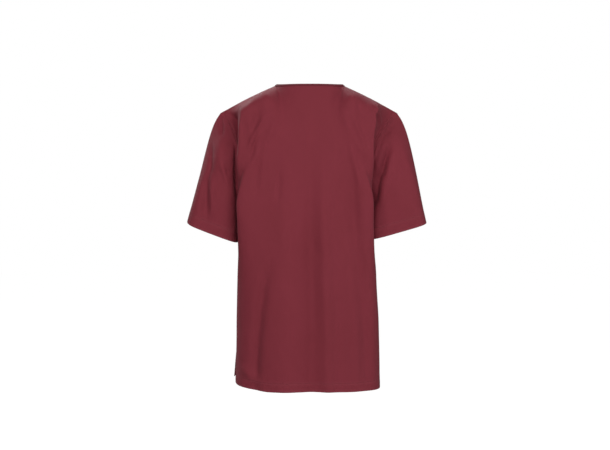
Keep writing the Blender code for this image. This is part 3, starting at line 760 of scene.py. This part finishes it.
def sunk(distance):  # how deep the cloth lies this far from a seam
    return cloth["seamSink"] * dip(distance, cloth["seamReach"])


def sinkShoulders(panels):
    upward = np.array([0.0, 0.0, 1.0])
    start = cut["neckShare"]
    for panel in panels:
        shoulder = smooth(np.abs(panel["across"]), start, start + cut["shoulderCalm"])[None, :]
        toSide = np.minimum(panel["toSide"][1], panel["toSide"][-1])
        panel["shift"][..., 2] -= sunk(panel["down"]) * shoulder * smooth(toSide, 0.0, cloth["seamEnd"])
        share = dip(panel["down"], cloth["edgeTurn"]) * shoulder
        panel["edgeWay"] = mixWays(panel["edgeWay"], upward, share)


def sinkSleeve(side, piece):  # its top and its own seam, and the way its armhole seam moves
    bisector = unit(piece["bodyNormals"] + piece["normals"][0])
    ring = piece["core"][:1]
    ridge = seamRidge(side, np.sign(ring[..., 1] - sideY), -ring[..., 2], piece["down"])
    piece["shift"] -= sunk(piece["down"])[..., None] * bisector[None]
    piece["shift"][..., 1] += ridge
    share = dip(piece["down"], cloth["edgeTurn"])
    piece["edgeWay"] = mixWays(piece["edgeWay"], bisector[None], share)
    seam = sunk(piece["toSeam"]) * smooth(piece["down"], 0.0, cloth["seamEnd"])
    piece["shift"] -= seam[..., None] * piece["normals"]
    return np.roll(bisector, piece["half"], axis=0)   # round from the shoulder again


def sinkSide(side, panel, fromShoulder):  # a panel's armhole and side seam, down to the vent
    count = panel["underarmRow"] + 1
    ways = np.tile(np.array([float(side), 0.0, 0.0]), (len(panel["core"]), 1))
    ways[:count] = fromShoulder[(panel["facing"] * np.arange(count)) % len(fromShoulder)]
    toSide = panel["toSide"][side]
    closed = within(panel["level"], cut["ventLevel"] - cut["ventStart"], cut["ventLevel"])
    edge = panel["core"][:, -1 if side > 0 else 0]
    panel["shift"] -= (sunk(toSide) * closed)[..., None] * ways[:, None]
    panel["shift"][..., 1] += seamRidge(side, panel["facing"], -edge[:, 2:], toSide)
    share = dip(toSide, cloth["edgeTurn"]) * closed
    panel["edgeWay"] = mixWays(panel["edgeWay"], ways[:, None], share)


Swell = namedtuple("Swell", "height across down slant")
worn = {                      # the small shapes of worn and stitched cloth
    "panelSwells": (Swell(0.0010, 0.045, 0.240, 0.0), Swell(0.0004, 0.019, 0.085, 0.3)),
    "sleeveSwells": (Swell(0.0008, 0.040, 0.140, 0.0), Swell(0.0003, 0.018, 0.060, 0.0)),
    "rippleAcross": 0.0065,   # from one pucker of a seam to the next
    "rippleDown": 0.0110,
    "sleeveRipple": 0.0085,
    "hemRipple": 0.00035,
    "sideRipple": 0.0004,
    "shoulderRipple": 0.0003,
    "armholeRipple": 0.0005,
    "armholeRoll": 0.0007,    # the sleeve's rise beside the armhole
    "hemRise": 0.0002,        # how far a turned edge stands out
    "rubReach": 0.004,
}


def swells(rows, across, down, seed, shown):  # slow random rises and falls
    height = 0.0
    for k, row in enumerate(rows):
        noise = softNoise(across + row.slant * down, down, row.across, row.down, seed + k)
        height = height + row.height * noise * shown
    return height


def groove(distance, line):  # the line that stitches pull down
    return dip(distance - line, cloth["stitchReach"])


def hemRise(distance, line):
    return worn["hemRise"] * within(distance, line - 0.001, line)


def rubbed(distance, line):  # wear on a turned edge and along its stitches
    return dip(distance, worn["rubReach"]) + 0.6 * dip(distance - line, worn["rubReach"])


def panelRelief(panel, shaped):  # heights, turned layers and wear
    seed, hem, vent, seam = panel["seed"], cut["hemStitch"], cut["ventStitch"], cut["seamStitch"]
    level, reach, down, toHem = (shaped[name] for name in ("level", "reach", "down", "toHem"))
    toSide = np.minimum(shaped["toSide"][1], shaped["toSide"][-1])
    aside = np.abs(shaped["across"])[None, :]
    onShoulder = smooth(aside, cut["neckShare"] - 0.01, cut["neckShare"] + 0.01)
    below = smooth(level, cut["ventLevel"] - 0.003, cut["ventLevel"] + 0.003)
    rows = np.arange(len(level))[:, None]
    armhole = within(rows, shaped["underarmRow"] - 2.0, shaped["underarmRow"] + 2.0)
    inside = smooth(toSide, 0.0, 0.05) * smooth(down, 0.0, 0.05)
    relief = swells(worn["panelSwells"], reach, level, seed, inside)
    ripple = softNoise(reach, 0.0, worn["rippleAcross"], 1.0, seed + 2)
    upDown = softNoise(level, 0.0, worn["rippleDown"], 1.0, seed + 3)
    relief += worn["hemRipple"] * ripple * swell(toHem, -0.006, 0.034, 0.4)
    relief += worn["sideRipple"] * upDown * swell(toSide, 0.0, 0.030, 0.35) * (0.6 + 0.4 * armhole)
    relief += worn["shoulderRipple"] * ripple * swell(down, 0.0, 0.022, 0.35) * onShoulder
    grooves = groove(toHem, hem) + groove(toSide, seam) * armhole
    grooves = grooves + groove(toSide, vent) * below + groove(down, seam) * onShoulder
    relief -= cloth["stitchSink"] * np.clip(grooves, 0.0, 1.0)
    relief += hemRise(toHem, hem)
    relief += hemRise(toSide, vent) * below
    allowance = cloth["seamAllowance"]
    layers = np.maximum.reduce([
        within(toHem, hem + 0.0005, hem + 0.0012),
        within(toSide, vent + 0.001, vent + 0.0025) * below,
        within(toSide, allowance, allowance + 0.0015) * (1.0 - below),
        within(down, allowance, allowance + 0.0015) * onShoulder,
    ])
    wear = rubbed(toHem, hem) + 0.5 * dip(toSide, worn["rubReach"])
    wear = wear + 0.5 * dip(down, worn["rubReach"]) * onShoulder
    return relief, layers, np.clip(wear, 0.0, 1.0)


def sleeveRelief(side, piece):
    seed, cuff = sleeve["seeds"][side], sleeve["cuffStitch"]
    reach, down, toCuff, toSeam = (piece[name] for name in ("reach", "down", "toCuff", "toSeam"))
    inside = smooth(down, 0.0, 0.04) * smooth(toSeam, 0.0, 0.03)
    relief = swells(worn["sleeveSwells"], reach, down, seed, inside)
    ripple = softNoise(reach, 0.0, worn["sleeveRipple"], 1.0, seed + 2) * smooth(toSeam, 0.0, 0.01)
    relief += worn["hemRipple"] * ripple * swell(toCuff, -0.006, 0.040, 0.35)
    relief += worn["armholeRipple"] * ripple * swell(down, 0.0, 0.024, 0.35)
    relief += worn["armholeRoll"] * dip(down - 0.0042, 0.0028)
    relief -= cloth["stitchSink"] * groove(toCuff, cuff)
    relief += hemRise(toCuff, cuff)
    allowance = cloth["seamAllowance"]
    layers = np.maximum.reduce([
        within(toCuff, cuff + 0.0005, cuff + 0.0012),
        within(down, allowance, allowance + 0.0015),
        within(toSeam, allowance, allowance + 0.003),
    ])
    wear = rubbed(toCuff, cuff) + 0.5 * dip(down, worn["rubReach"])
    return relief, layers, np.clip(wear, 0.0, 1.0)


def clothFaces(shaped, relief, layers):  # outer and inner points of the cloth
    lifted = shaped["core"] + shaped["shift"]
    outer = lifted + shaped["normals"] * relief[..., None]
    depth = cloth["thickness"] + cloth["layer"] * layers
    inner = lifted + shaped["normals"] * (0.6 * relief)[..., None]
    return outer, inner - shaped["edgeWay"] * depth[..., None]


def addObject(name, data):
    added = bpy.data.objects.new(name, data)
    bpy.context.scene.collection.objects.link(added)
    return added


def makeMesh(name, points, quads, corners, wear, material):
    data = bpy.data.meshes.new(name)
    data.from_pydata(points.tolist(), [], quads.tolist())
    layer = data.uv_layers.new(name="clothUV")
    layer.data.foreach_set("uv", corners.astype(np.float32).ravel())
    edgeWear = data.attributes.new("edgeWear", "FLOAT", "POINT")
    edgeWear.data.foreach_set("value", wear.astype(np.float32))
    data.materials.append(material)
    data.shade_smooth()
    return addObject(name, data)


def quadsOf(numbers):
    quads = (numbers[:-1, :-1], numbers[:-1, 1:], numbers[1:, 1:], numbers[1:, :-1])
    return np.stack(quads, -1).reshape(-1, 4)


def rimLoops(outer, inner, away):  # three rows that round an edge from its outer to its inner face
    centre, out = (outer + inner) / 2, (outer - inner) / 2
    bulge = unit(away) * np.linalg.norm(out, axis=1)[:, None]
    return [centre + math.cos(t) * out + math.sin(t) * bulge for t in np.radians((45, 90, 135))]


def panelShell(name, outer, inner, uv, wear, facing, material):
    rows, columns = outer.shape[:2]
    numbers = np.arange(rows * columns).reshape(rows, columns)
    border = np.concatenate([numbers[0, :-1], numbers[:-1, -1], numbers[-1, :0:-1], numbers[:0:-1, 0]])
    away = np.zeros(outer.shape)
    away[0] += unit(outer[0] - outer[1])
    away[-1] += unit(outer[-1] - outer[-2])
    away[:, 0] += unit(outer[:, 0] - outer[:, 1])
    away[:, -1] += unit(outer[:, -1] - outer[:, -2])
    outer, inner, away, uv = (grid.reshape(-1, grid.shape[-1]) for grid in (outer, inner, away, uv))
    rim = rimLoops(outer[border], inner[border], away[border])
    points = np.concatenate([outer, inner, *rim])
    count = rows * columns
    loops = [2 * count + k * len(border) + np.arange(len(border)) for k in range(len(rim))]
    loops = np.stack([looped(loop) for loop in (border, *loops, count + border)])
    quads = [quadsOf(numbers), count + quadsOf(numbers)[:, ::-1], quadsOf(loops)[:, [1, 0, 3, 2]]]
    quads = np.concatenate(quads)[:, ::facing]
    pointUV = np.concatenate([uv, uv] + [uv[border]] * len(rim))
    wear = np.concatenate([wear.ravel(), wear.ravel()] + [wear.ravel()[border]] * len(rim))
    return makeMesh(name, points, quads, pointUV[quads], wear, material)


def tubeShell(name, rings, uv, wear, facing, material):  # rings right round one closed wall
    rows, columns = rings.shape[:2]
    numbers = np.arange(rows * columns).reshape(rows, columns)
    numbers = looped(looped(numbers).T).T
    places = np.arange((rows + 1) * (columns + 1)).reshape(rows + 1, columns + 1)
    quads, corners = quadsOf(numbers)[:, ::facing], quadsOf(places)[:, ::facing]
    return makeMesh(name, rings.reshape(-1, 3), quads, uv.reshape(-1, 2)[corners], wear.ravel(), material)


def roundWall(rows, closing):  # a value for each ring: down outside, round the cuff, up inside
    back = (np.tile(rows[-1], (3, 1)), rows[::-1], np.tile(rows[0], (closing, 1)))
    return np.concatenate([rows, *back])


def sleeveShell(name, piece, outer, inner, wear, side, material):
    cuffRim = rimLoops(outer[-1], inner[-1], outer[-1] - outer[-2])
    holeRim = rimLoops(inner[0], outer[0], outer[0] - outer[1])
    rings = np.concatenate([outer, np.stack(cuffRim), inner[::-1], np.stack(holeRim)])
    lengths = looped(piece["down"].T).T
    uv = np.stack([roundWall(grid, 4) for grid in (piece["around"], lengths)], -1)
    return tubeShell(name, rings, uv, roundWall(wear, 3), -side, material)


binding = {
    "height": 0.0055,         # stands this far above the panels' edge
    "overlap": 0.0014,        # and reaches this far down over it
    "thickness": 0.0026,
    "squareness": 2.6,
    "aroundSection": 16,
    "clothWidth": 0.016,      # of the folded strip, right round its section
    "leanUp": 0.06,
    "smoothing": 12,          # passes over the way it faces
    "stitchDrop": 0.0022,     # its stitches below its middle line
}


def neckLoop(panels, outers):  # the panels' neck edges as one loop, and their normals
    edges, normals = [], []
    for panel, outer in zip(panels, outers):
        columns = np.abs(panel["across"]) <= cut["neckShare"] + 1e-9
        edges.append(outer[0, columns])
        normals.append(panel["normals"][0, columns])
    return tuple(np.concatenate([back[:-1], front[:0:-1]]) for back, front in (edges, normals))


def neckBinding(panels, outers, material):
    edge, normals = neckLoop(panels, outers)
    for count in range(binding["smoothing"]):
        normals = unit(np.roll(normals, 1, axis=0) + 2.0 * normals + np.roll(normals, -1, axis=0))
    ahead = unit(np.roll(edge, -1, axis=0) - edge)
    behind = np.roll(ahead, 1, axis=0)
    upward = unit(np.cross(ahead + behind, normals))
    mitre = 1.0 / np.clip(np.linalg.norm(ahead + behind, axis=1) / 2, 0.5, 1.0)[:, None]
    lift = unit(upward + np.array([0.0, 0.0, binding["leanUp"]]))
    facing = unit(np.cross(lift, ahead + behind))
    facing = facing * np.sign(np.sum(facing * normals, axis=1))[:, None]
    half = (binding["height"] + binding["overlap"]) / 2
    centre = edge - normals * cloth["thickness"] / 2 + lift * (half - binding["overlap"]) * mitre
    turn = np.linspace(0.0, 2 * math.pi, binding["aroundSection"], endpoint=False)
    up, out = squaredCircle(turn, binding["squareness"])
    rings = centre[None] + up[:, None, None] * half * (lift * mitre)[None]
    rings = rings + out[:, None, None] * binding["thickness"] / 2 * facing[None]
    length = lengthsDown(looped(edge))
    section = np.linspace(0.0, binding["clothWidth"], len(turn) + 1)
    uv = np.stack(np.broadcast_arrays(length[None, :], section[:, None]), -1)
    wear = np.broadcast_to(0.5 * (up[:, None] > 0.8), rings.shape[:2])  # along its upper fold
    return tubeShell("neckBinding", rings, uv, wear, 1, material), centre, facing, lift


twill = {
    "colour": (0.196, 0.0258, 0.0401, 1.0),
    "deep": (0.172, 0.0220, 0.0320, 1.0),
    "worn": (0.235, 0.050, 0.064, 1.0),
    "pitch": 0.0011,          # from one diagonal rib to the next
    "yarn": 0.00045,
    "rib": 0.00009,
    "cloudScale": 9.0,        # noise scales: cloudy tone, slubs, puckers and fuzz
    "slubScale": 420.0,
    "puckerScale": 160.0,
    "fuzzScale": 900.0,
    "roughness": (0.72, 0.86),
    "specular": 0.15,
    "sheen": 0.06,
    "sheenRoughness": 0.45,
    "sheenTint": (1.0, 0.62, 0.66, 1.0),
}
stripTwillPaintedShade = {                # the neck binding's cloth, darker than the twill as painted shade along the binding
    **twill,
    "colour": (0.150, 0.0225, 0.032, 1.0),
    "deep": (0.122, 0.017, 0.025, 1.0),
    "worn": (0.205, 0.042, 0.055, 1.0),
}


def feed(tree, node, inputs):  # sets a node's sockets, or links another node's output to them
    for name, value in inputs.items():
        if isinstance(value, bpy.types.NodeSocket):
            tree.links.new(value, node.inputs[name])
        else:
            node.inputs[name].default_value = value


def addNode(tree, kind, inputs, **settings):
    node = tree.nodes.new(kind)
    for name, value in settings.items():
        setattr(node, name, value)
    feed(tree, node, inputs)
    return node


def newMaterial(name):
    material = bpy.data.materials.new(name)
    material.use_nodes = True
    return material, material.node_tree, material.node_tree.nodes["Principled BSDF"]


def speckle(tree, scale, detail):
    place = addNode(tree, "ShaderNodeTexCoord", {}).outputs["Object"]
    settings = {"Vector": place, "Scale": scale, "Detail": detail}
    return addNode(tree, "ShaderNodeTexNoise", settings).outputs["Fac"]


def mixColours(tree, share, low, high):
    return addNode(tree, "ShaderNodeMix", {0: share, 6: low, 7: high}, data_type="RGBA").outputs[2]


def twillMaterial(name, look):
    material, tree, shader = newMaterial(name)

    def work(operation, a, b=0.0):
        return addNode(tree, "ShaderNodeMath", {0: a, 1: b}, operation=operation).outputs[0]

    place = addNode(tree, "ShaderNodeUVMap", {}, uv_map="clothUV").outputs[0]
    split = addNode(tree, "ShaderNodeSeparateXYZ", {0: place}).outputs
    ribTurn, yarnTurn = 2 * math.pi / look["pitch"], 2 * math.pi / look["yarn"]
    across, down = (work("MULTIPLY", split[axis], ribTurn) for axis in ("X", "Y"))
    ribs = work("SINE", work("ADD", across, down))
    yarns = work("SINE", work("MULTIPLY", split["Y"], yarnTurn))
    weave = work("ADD", work("MULTIPLY", ribs, 0.7), work("MULTIPLY", yarns, 0.3))
    wear = addNode(tree, "ShaderNodeAttribute", {}, attribute_name="edgeWear").outputs["Fac"]
    cloudy = speckle(tree, look["cloudScale"], 3.0)
    slub = speckle(tree, look["slubScale"], 2.0)
    pucker = speckle(tree, look["puckerScale"], 2.0)
    fuzz = speckle(tree, look["fuzzScale"], 3.0)

    # the tone goes with the clouds, the slubs and a little with the weave
    tone = work("ADD", work("MULTIPLY", cloudy, 0.5), work("MULTIPLY", slub, 0.3))
    tone = work("ADD", tone, work("MULTIPLY", weave, 0.16))
    tone = addNode(tree, "ShaderNodeMapRange", {"Value": tone, "From Min": 0.15, "From Max": 0.65})
    base = mixColours(tree, tone.outputs[0], look["deep"], look["colour"])
    paler = work("MULTIPLY", wear, work("MULTIPLY", slub, 0.5))

    # the surface goes with the weave and fuzz, and puckers where the edges are worn
    height = work("ADD", weave, work("MULTIPLY", fuzz, 0.9))
    height = work("ADD", height, work("MULTIPLY", work("MULTIPLY", pucker, wear), 3.0))
    bump = addNode(tree, "ShaderNodeBump", {"Height": height, "Strength": 0.5, "Distance": look["rib"]})
    smoothest, roughest = look["roughness"]
    rough = {"Value": slub, "To Min": smoothest, "To Max": roughest}
    feed(tree, shader, {
        "Base Color": mixColours(tree, paler, base, look["worn"]),
        "Normal": bump.outputs[0],
        "Roughness": addNode(tree, "ShaderNodeMapRange", rough).outputs[0],
        "Specular IOR Level": look["specular"],
        "Sheen Weight": look["sheen"],
        "Sheen Roughness": look["sheenRoughness"],
        "Sheen Tint": look["sheenTint"],
    })
    return material


thread = {
    "colour": (0.150, 0.024, 0.034, 1.0),
    "deep": (0.085, 0.012, 0.018, 1.0),
    "plyScale": 1400.0,
    "plyDepth": 0.00008,
    "roughness": 0.75,
    "specular": 0.1,
    "pitch": 0.0029,
    "length": 0.0022,
    "thickness": 0.00042,
    "lift": 0.00005,          # above the cloth's face
}


def threadMaterial():
    material, tree, shader = newMaterial("burgundyThread")
    ply = speckle(tree, thread["plyScale"], 2.0)
    bump = addNode(tree, "ShaderNodeBump", {"Height": ply, "Strength": 0.4, "Distance": thread["plyDepth"]})
    feed(tree, shader, {
        "Base Color": mixColours(tree, ply, thread["deep"], thread["colour"]),
        "Normal": bump.outputs[0],
        "Roughness": thread["roughness"],
        "Specular IOR Level": thread["specular"],
    })
    return material


def stitchTree(material):  # one small capsule after another along each line, and its sizes' sockets
    tree = bpy.data.node_groups.new("topstitching", "GeometryNodeTree")
    tree.interface.new_socket("Lines", in_out="INPUT", socket_type="NodeSocketGeometry")
    sockets = {}
    for name in ("Pitch", "Length", "Thickness"):
        socket = tree.interface.new_socket(name, in_out="INPUT", socket_type="NodeSocketFloat")
        socket.default_value = thread[name.lower()]
        sockets[name] = socket.identifier
    tree.interface.new_socket("Stitches", in_out="OUTPUT", socket_type="NodeSocketGeometry")

    def add(kind, inputs, **settings):
        return addNode(tree, kind, inputs, **settings).outputs[0]

    given = tree.nodes.new("NodeGroupInput").outputs
    curve = add("GeometryNodeMeshToCurve", {"Mesh": given["Lines"]})
    spacing = {"Curve": curve, "Length": given["Pitch"]}
    points = add("GeometryNodeResampleCurve", spacing, mode="LENGTH")
    capsule = add("GeometryNodeMeshUVSphere", {"Segments": 8, "Rings": 5, "Radius": 0.5})
    thick = given["Thickness"]
    size = add("ShaderNodeCombineXYZ", {"X": thick, "Y": thick, "Z": given["Length"]})
    stitch = add("GeometryNodeTransform", {"Geometry": capsule, "Scale": size})
    tangent = add("GeometryNodeInputTangent", {})
    turn = add("FunctionNodeAlignRotationToVector", {"Vector": tangent}, axis="Z")
    placed = {"Points": points, "Instance": stitch, "Rotation": turn}
    real = add("GeometryNodeRealizeInstances", {0: add("GeometryNodeInstanceOnPoints", placed)})
    sewn = add("GeometryNodeSetMaterial", {"Geometry": real, "Material": material})
    feed(tree, tree.nodes.new("NodeGroupOutput"), {0: sewn})
    return tree, sockets


def sewStitches(name, lines, material):
    data = bpy.data.meshes.new(name)
    points, edges = [], []
    for line in lines:
        start = len(points)
        points += line.tolist()
        edges += [(k, k + 1) for k in range(start, len(points) - 1)]
    data.from_pydata(points, edges, [])
    guide = addObject(name + "Guide", data)
    tree, sockets = stitchTree(material)
    maker = guide.modifiers.new("stitches", "NODES")
    maker.node_group = tree
    for size, identifier in sockets.items():
        maker[identifier] = thread[size.lower()]
    bpy.context.view_layer.update()
    graph = bpy.context.evaluated_depsgraph_get()
    mesh = bpy.data.meshes.new_from_object(guide.evaluated_get(graph), depsgraph=graph)
    mesh.name = name
    mesh.shade_smooth()
    bpy.data.objects.remove(guide)
    return addObject(name, mesh)


def lineFromEdge(outer, normals, distance, inset, rows=slice(None), columns=slice(None)):
    # the line at one distance from an edge, as read from a table of distances to it
    points = []
    lifted = outer + normals * thread["lift"]
    lifted, distance = lifted[rows, columns], distance[rows, columns]
    for away, row in zip(distance, lifted):
        order = np.argsort(away)
        points.append([np.interp(inset, away[order], row[order, axis]) for axis in range(3)])
    return np.array(points)


def panelStitchLines(shaped, outer):
    normals, across, level = shaped["normals"], shaped["across"], shaped["level"]
    turned = [np.swapaxes(values, 0, 1) for values in (outer, normals)]
    lines = [lineFromEdge(*turned, shaped["toHem"].T, cut["hemStitch"], rows=slice(2, -2))]
    shoulderStart, shoulderEnd = cut["neckShare"] + 0.015, 0.985
    closest = 40                              # columns that surely reach past the stitches
    for side in (1, -1):
        shoulder = (side * across >= shoulderStart) & (side * across <= shoulderEnd)
        lines.append(lineFromEdge(*turned, shaped["down"].T, cut["seamStitch"], rows=shoulder))
        near = slice(-closest, None) if side > 0 else slice(0, closest)
        edge = -1 if side > 0 else 0
        toSide = shaped["toSide"][side]
        armhole = slice(4, shaped["underarmRow"] - 1)
        lines.append(lineFromEdge(outer, normals, toSide, cut["seamStitch"], armhole, near))
        vent = (level[:, edge] > cut["ventLevel"] - 0.002) & (shaped["toHem"][:, edge] > 0.003)
        lines.append(lineFromEdge(outer, normals, toSide, cut["ventStitch"], vent, near))
    return lines


def buildTop():
    clothMaterial = twillMaterial("burgundyTwill", twill)
    # the binding gets the darker copy of the twill, whose extra darkness is painted shade
    paintedShadeStripMaterial = twillMaterial("burgundyStripPaintedShade", stripTwillPaintedShade)
    panels = [shapedPanel(backPanel), shapedPanel(frontPanel)]
    sleeves = {side: shapedSleeve(side, panels) for side in (1, -1)}
    sinkShoulders(panels)
    for side, piece in sleeves.items():
        fromShoulder = sinkSleeve(side, piece)
        for panel in panels:
            sinkSide(side, panel, fromShoulder)
    print("shapes ready")
    pieces, outers, lines = {}, [], []
    for name, panel, shaped in zip(("backPanel", "frontPanel"), (backPanel, frontPanel), panels):
        relief, layers, wear = panelRelief(panel, shaped)
        outer, inner = clothFaces(shaped, relief, layers)
        uv = np.stack([shaped["reach"], shaped["down"]], -1)
        pieces[name] = panelShell(name, outer, inner, uv, wear, panel["facing"], clothMaterial)
        outers.append(outer)
        lines += panelStitchLines(shaped, outer)
        print(name, "made")
    for side, name in ((1, "sleeveLeft"), (-1, "sleeveRight")):
        piece = sleeves[side]
        relief, layers, wear = sleeveRelief(side, piece)
        outer, inner = clothFaces(piece, relief, layers)
        pieces[name] = sleeveShell(name, piece, outer, inner, wear, side, clothMaterial)
        turned = [np.swapaxes(values, 0, 1) for values in (outer, piece["normals"])]
        cuffLine = lineFromEdge(*turned, piece["toCuff"].T, sleeve["cuffStitch"])
        lines.append(looped(cuffLine))
        print(name, "made")
    strip, centre, facing, lift = neckBinding(panels, outers, paintedShadeStripMaterial)
    pieces["neckBinding"] = strip
    low = centre + facing * (binding["thickness"] / 2 + thread["lift"]) - lift * binding["stitchDrop"]
    lines.append(looped(low))
    print("neck binding made")
    pieces["topstitching"] = sewStitches("topstitching", lines, threadMaterial())
    print("stitches made")
    return pieces


pieces = buildTop()
nodes = {                     # each piece's CAD node, slot, and cut with its hems and seams
    "backPanel": ("back_panel", "scrub_cloth", (0.540, 0.840), 0.415),
    "frontPanel": ("front_panel", "scrub_cloth", (0.540, 0.800), 0.370),
    "sleeveLeft": ("sleeve_left", "scrub_cloth", (0.500, 0.340), 0.105),
    "sleeveRight": ("sleeve_right", "scrub_cloth", (0.500, 0.340), 0.105),
    "neckBinding": ("neck_binding", "neck_binding_cloth", None, None),
}
for name, (node, slot, flat, area) in nodes.items():
    piece = pieces[name]
    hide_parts(node)
    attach(piece, "root")
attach(pieces["topstitching"], "root")


studio = {
    "floorLevel": -1.45,
    "floorRadius": 24.0,
    "floorColour": (0.55, 0.55, 0.55, 1.0),
    "floorRoughness": 0.9,
    "floorSpecular": 0.1,
    "white": (1.0, 1.0, 1.0, 1.0),
    "camera": (0.005, 3.0, -0.3475),
    "focalLength": 1200.0,    # in pixels, by a frame this wide
    "frameWidth": 610.0,
}


def makeFloor():
    bpy.ops.mesh.primitive_circle_add(vertices=96, radius=studio["floorRadius"], fill_type="NGON")
    floor = bpy.context.object
    floor.name = "floor"
    floor.data.transform(floor.matrix_world)
    floor.location = (0.0, 0.0, studio["floorLevel"])
    material, tree, shader = newMaterial("paleFloor")
    path = addNode(tree, "ShaderNodeLightPath", {})  # reads white, and throws no glow on the cloth
    feed(tree, shader, {
        "Base Color": studio["floorColour"],
        "Roughness": studio["floorRoughness"],
        "Specular IOR Level": studio["floorSpecular"],
        "Emission Color": studio["white"],
        "Emission Strength": path.outputs["Is Camera Ray"],
    })
    floor.data.materials.append(material)


def makeWorld():  # white behind the top, and no light from it
    world = bpy.data.worlds.new("studioAir")
    bpy.context.scene.world = world
    world.use_nodes = True
    tree = world.node_tree
    path = addNode(tree, "ShaderNodeLightPath", {})
    air = {"Color": studio["white"], "Strength": path.outputs["Is Camera Ray"]}
    feed(tree, tree.nodes["Background"], air)


Lamp = namedtuple("Lamp", "name place target width height power")
lamps = (
    Lamp("frontLight", (0.0, 3.2, 0.4), (0.0, 0.0, -0.35), 1.6, 1.6, 25.0),
    Lamp("rightLight", (-1.6, 3.0, 1.2), (0.0, 0.0, -0.35), 1.4, 1.4, 44.0),
    Lamp("leftLight", (1.6, 3.0, 1.2), (0.0, 0.0, -0.35), 1.4, 1.4, 43.0),
    Lamp("highLight", (0.0, 2.2, 2.2), (0.0, 0.0, -0.20), 1.6, 1.6, 14.5),
    Lamp("sideLight", (-3.0, 0.6, 0.0), (0.0, 0.0, -0.35), 1.4, 1.4, 19.0),
    Lamp("rimLight", (0.0, -1.6, 1.7), (0.0, 0.0, -0.10), 1.6, 0.8, 32.0),
    Lamp("farLight", (0.4, -3.0, 0.2), (0.0, 0.0, -0.35), 1.6, 1.6, 24.0),
    Lamp("leftRimLight", (1.9, -1.5, 1.3), (0.0, 0.0, -0.10), 1.2, 1.2, 39.0),
)


def makeLamps():
    for row in lamps:
        light = bpy.data.lights.new(row.name, "AREA")
        light.shape = "RECTANGLE"
        light.size, light.size_y = row.width, row.height
        light.energy = row.power
        lamp = addObject(row.name, light)
        lamp.location = row.place
        aim = Vector(row.target) - Vector(row.place)
        lamp.rotation_euler = aim.to_track_quat("-Z", "Y").to_euler()
        lamp.visible_camera = False


def makeCamera():
    data = bpy.data.cameras.new("camera")
    data.sensor_width = 36.0
    data.lens = data.sensor_width * studio["focalLength"] / studio["frameWidth"]
    data.clip_end = 100.0
    camera = addObject("camera", data)
    camera.location = studio["camera"]
    camera.rotation_euler = (math.pi / 2, 0.0, math.pi)
    bpy.context.scene.camera = camera


makeFloor()
makeWorld()
makeLamps()
makeCamera()
bpy.context.scene.view_settings.view_transform = "Standard"
print("studio made")
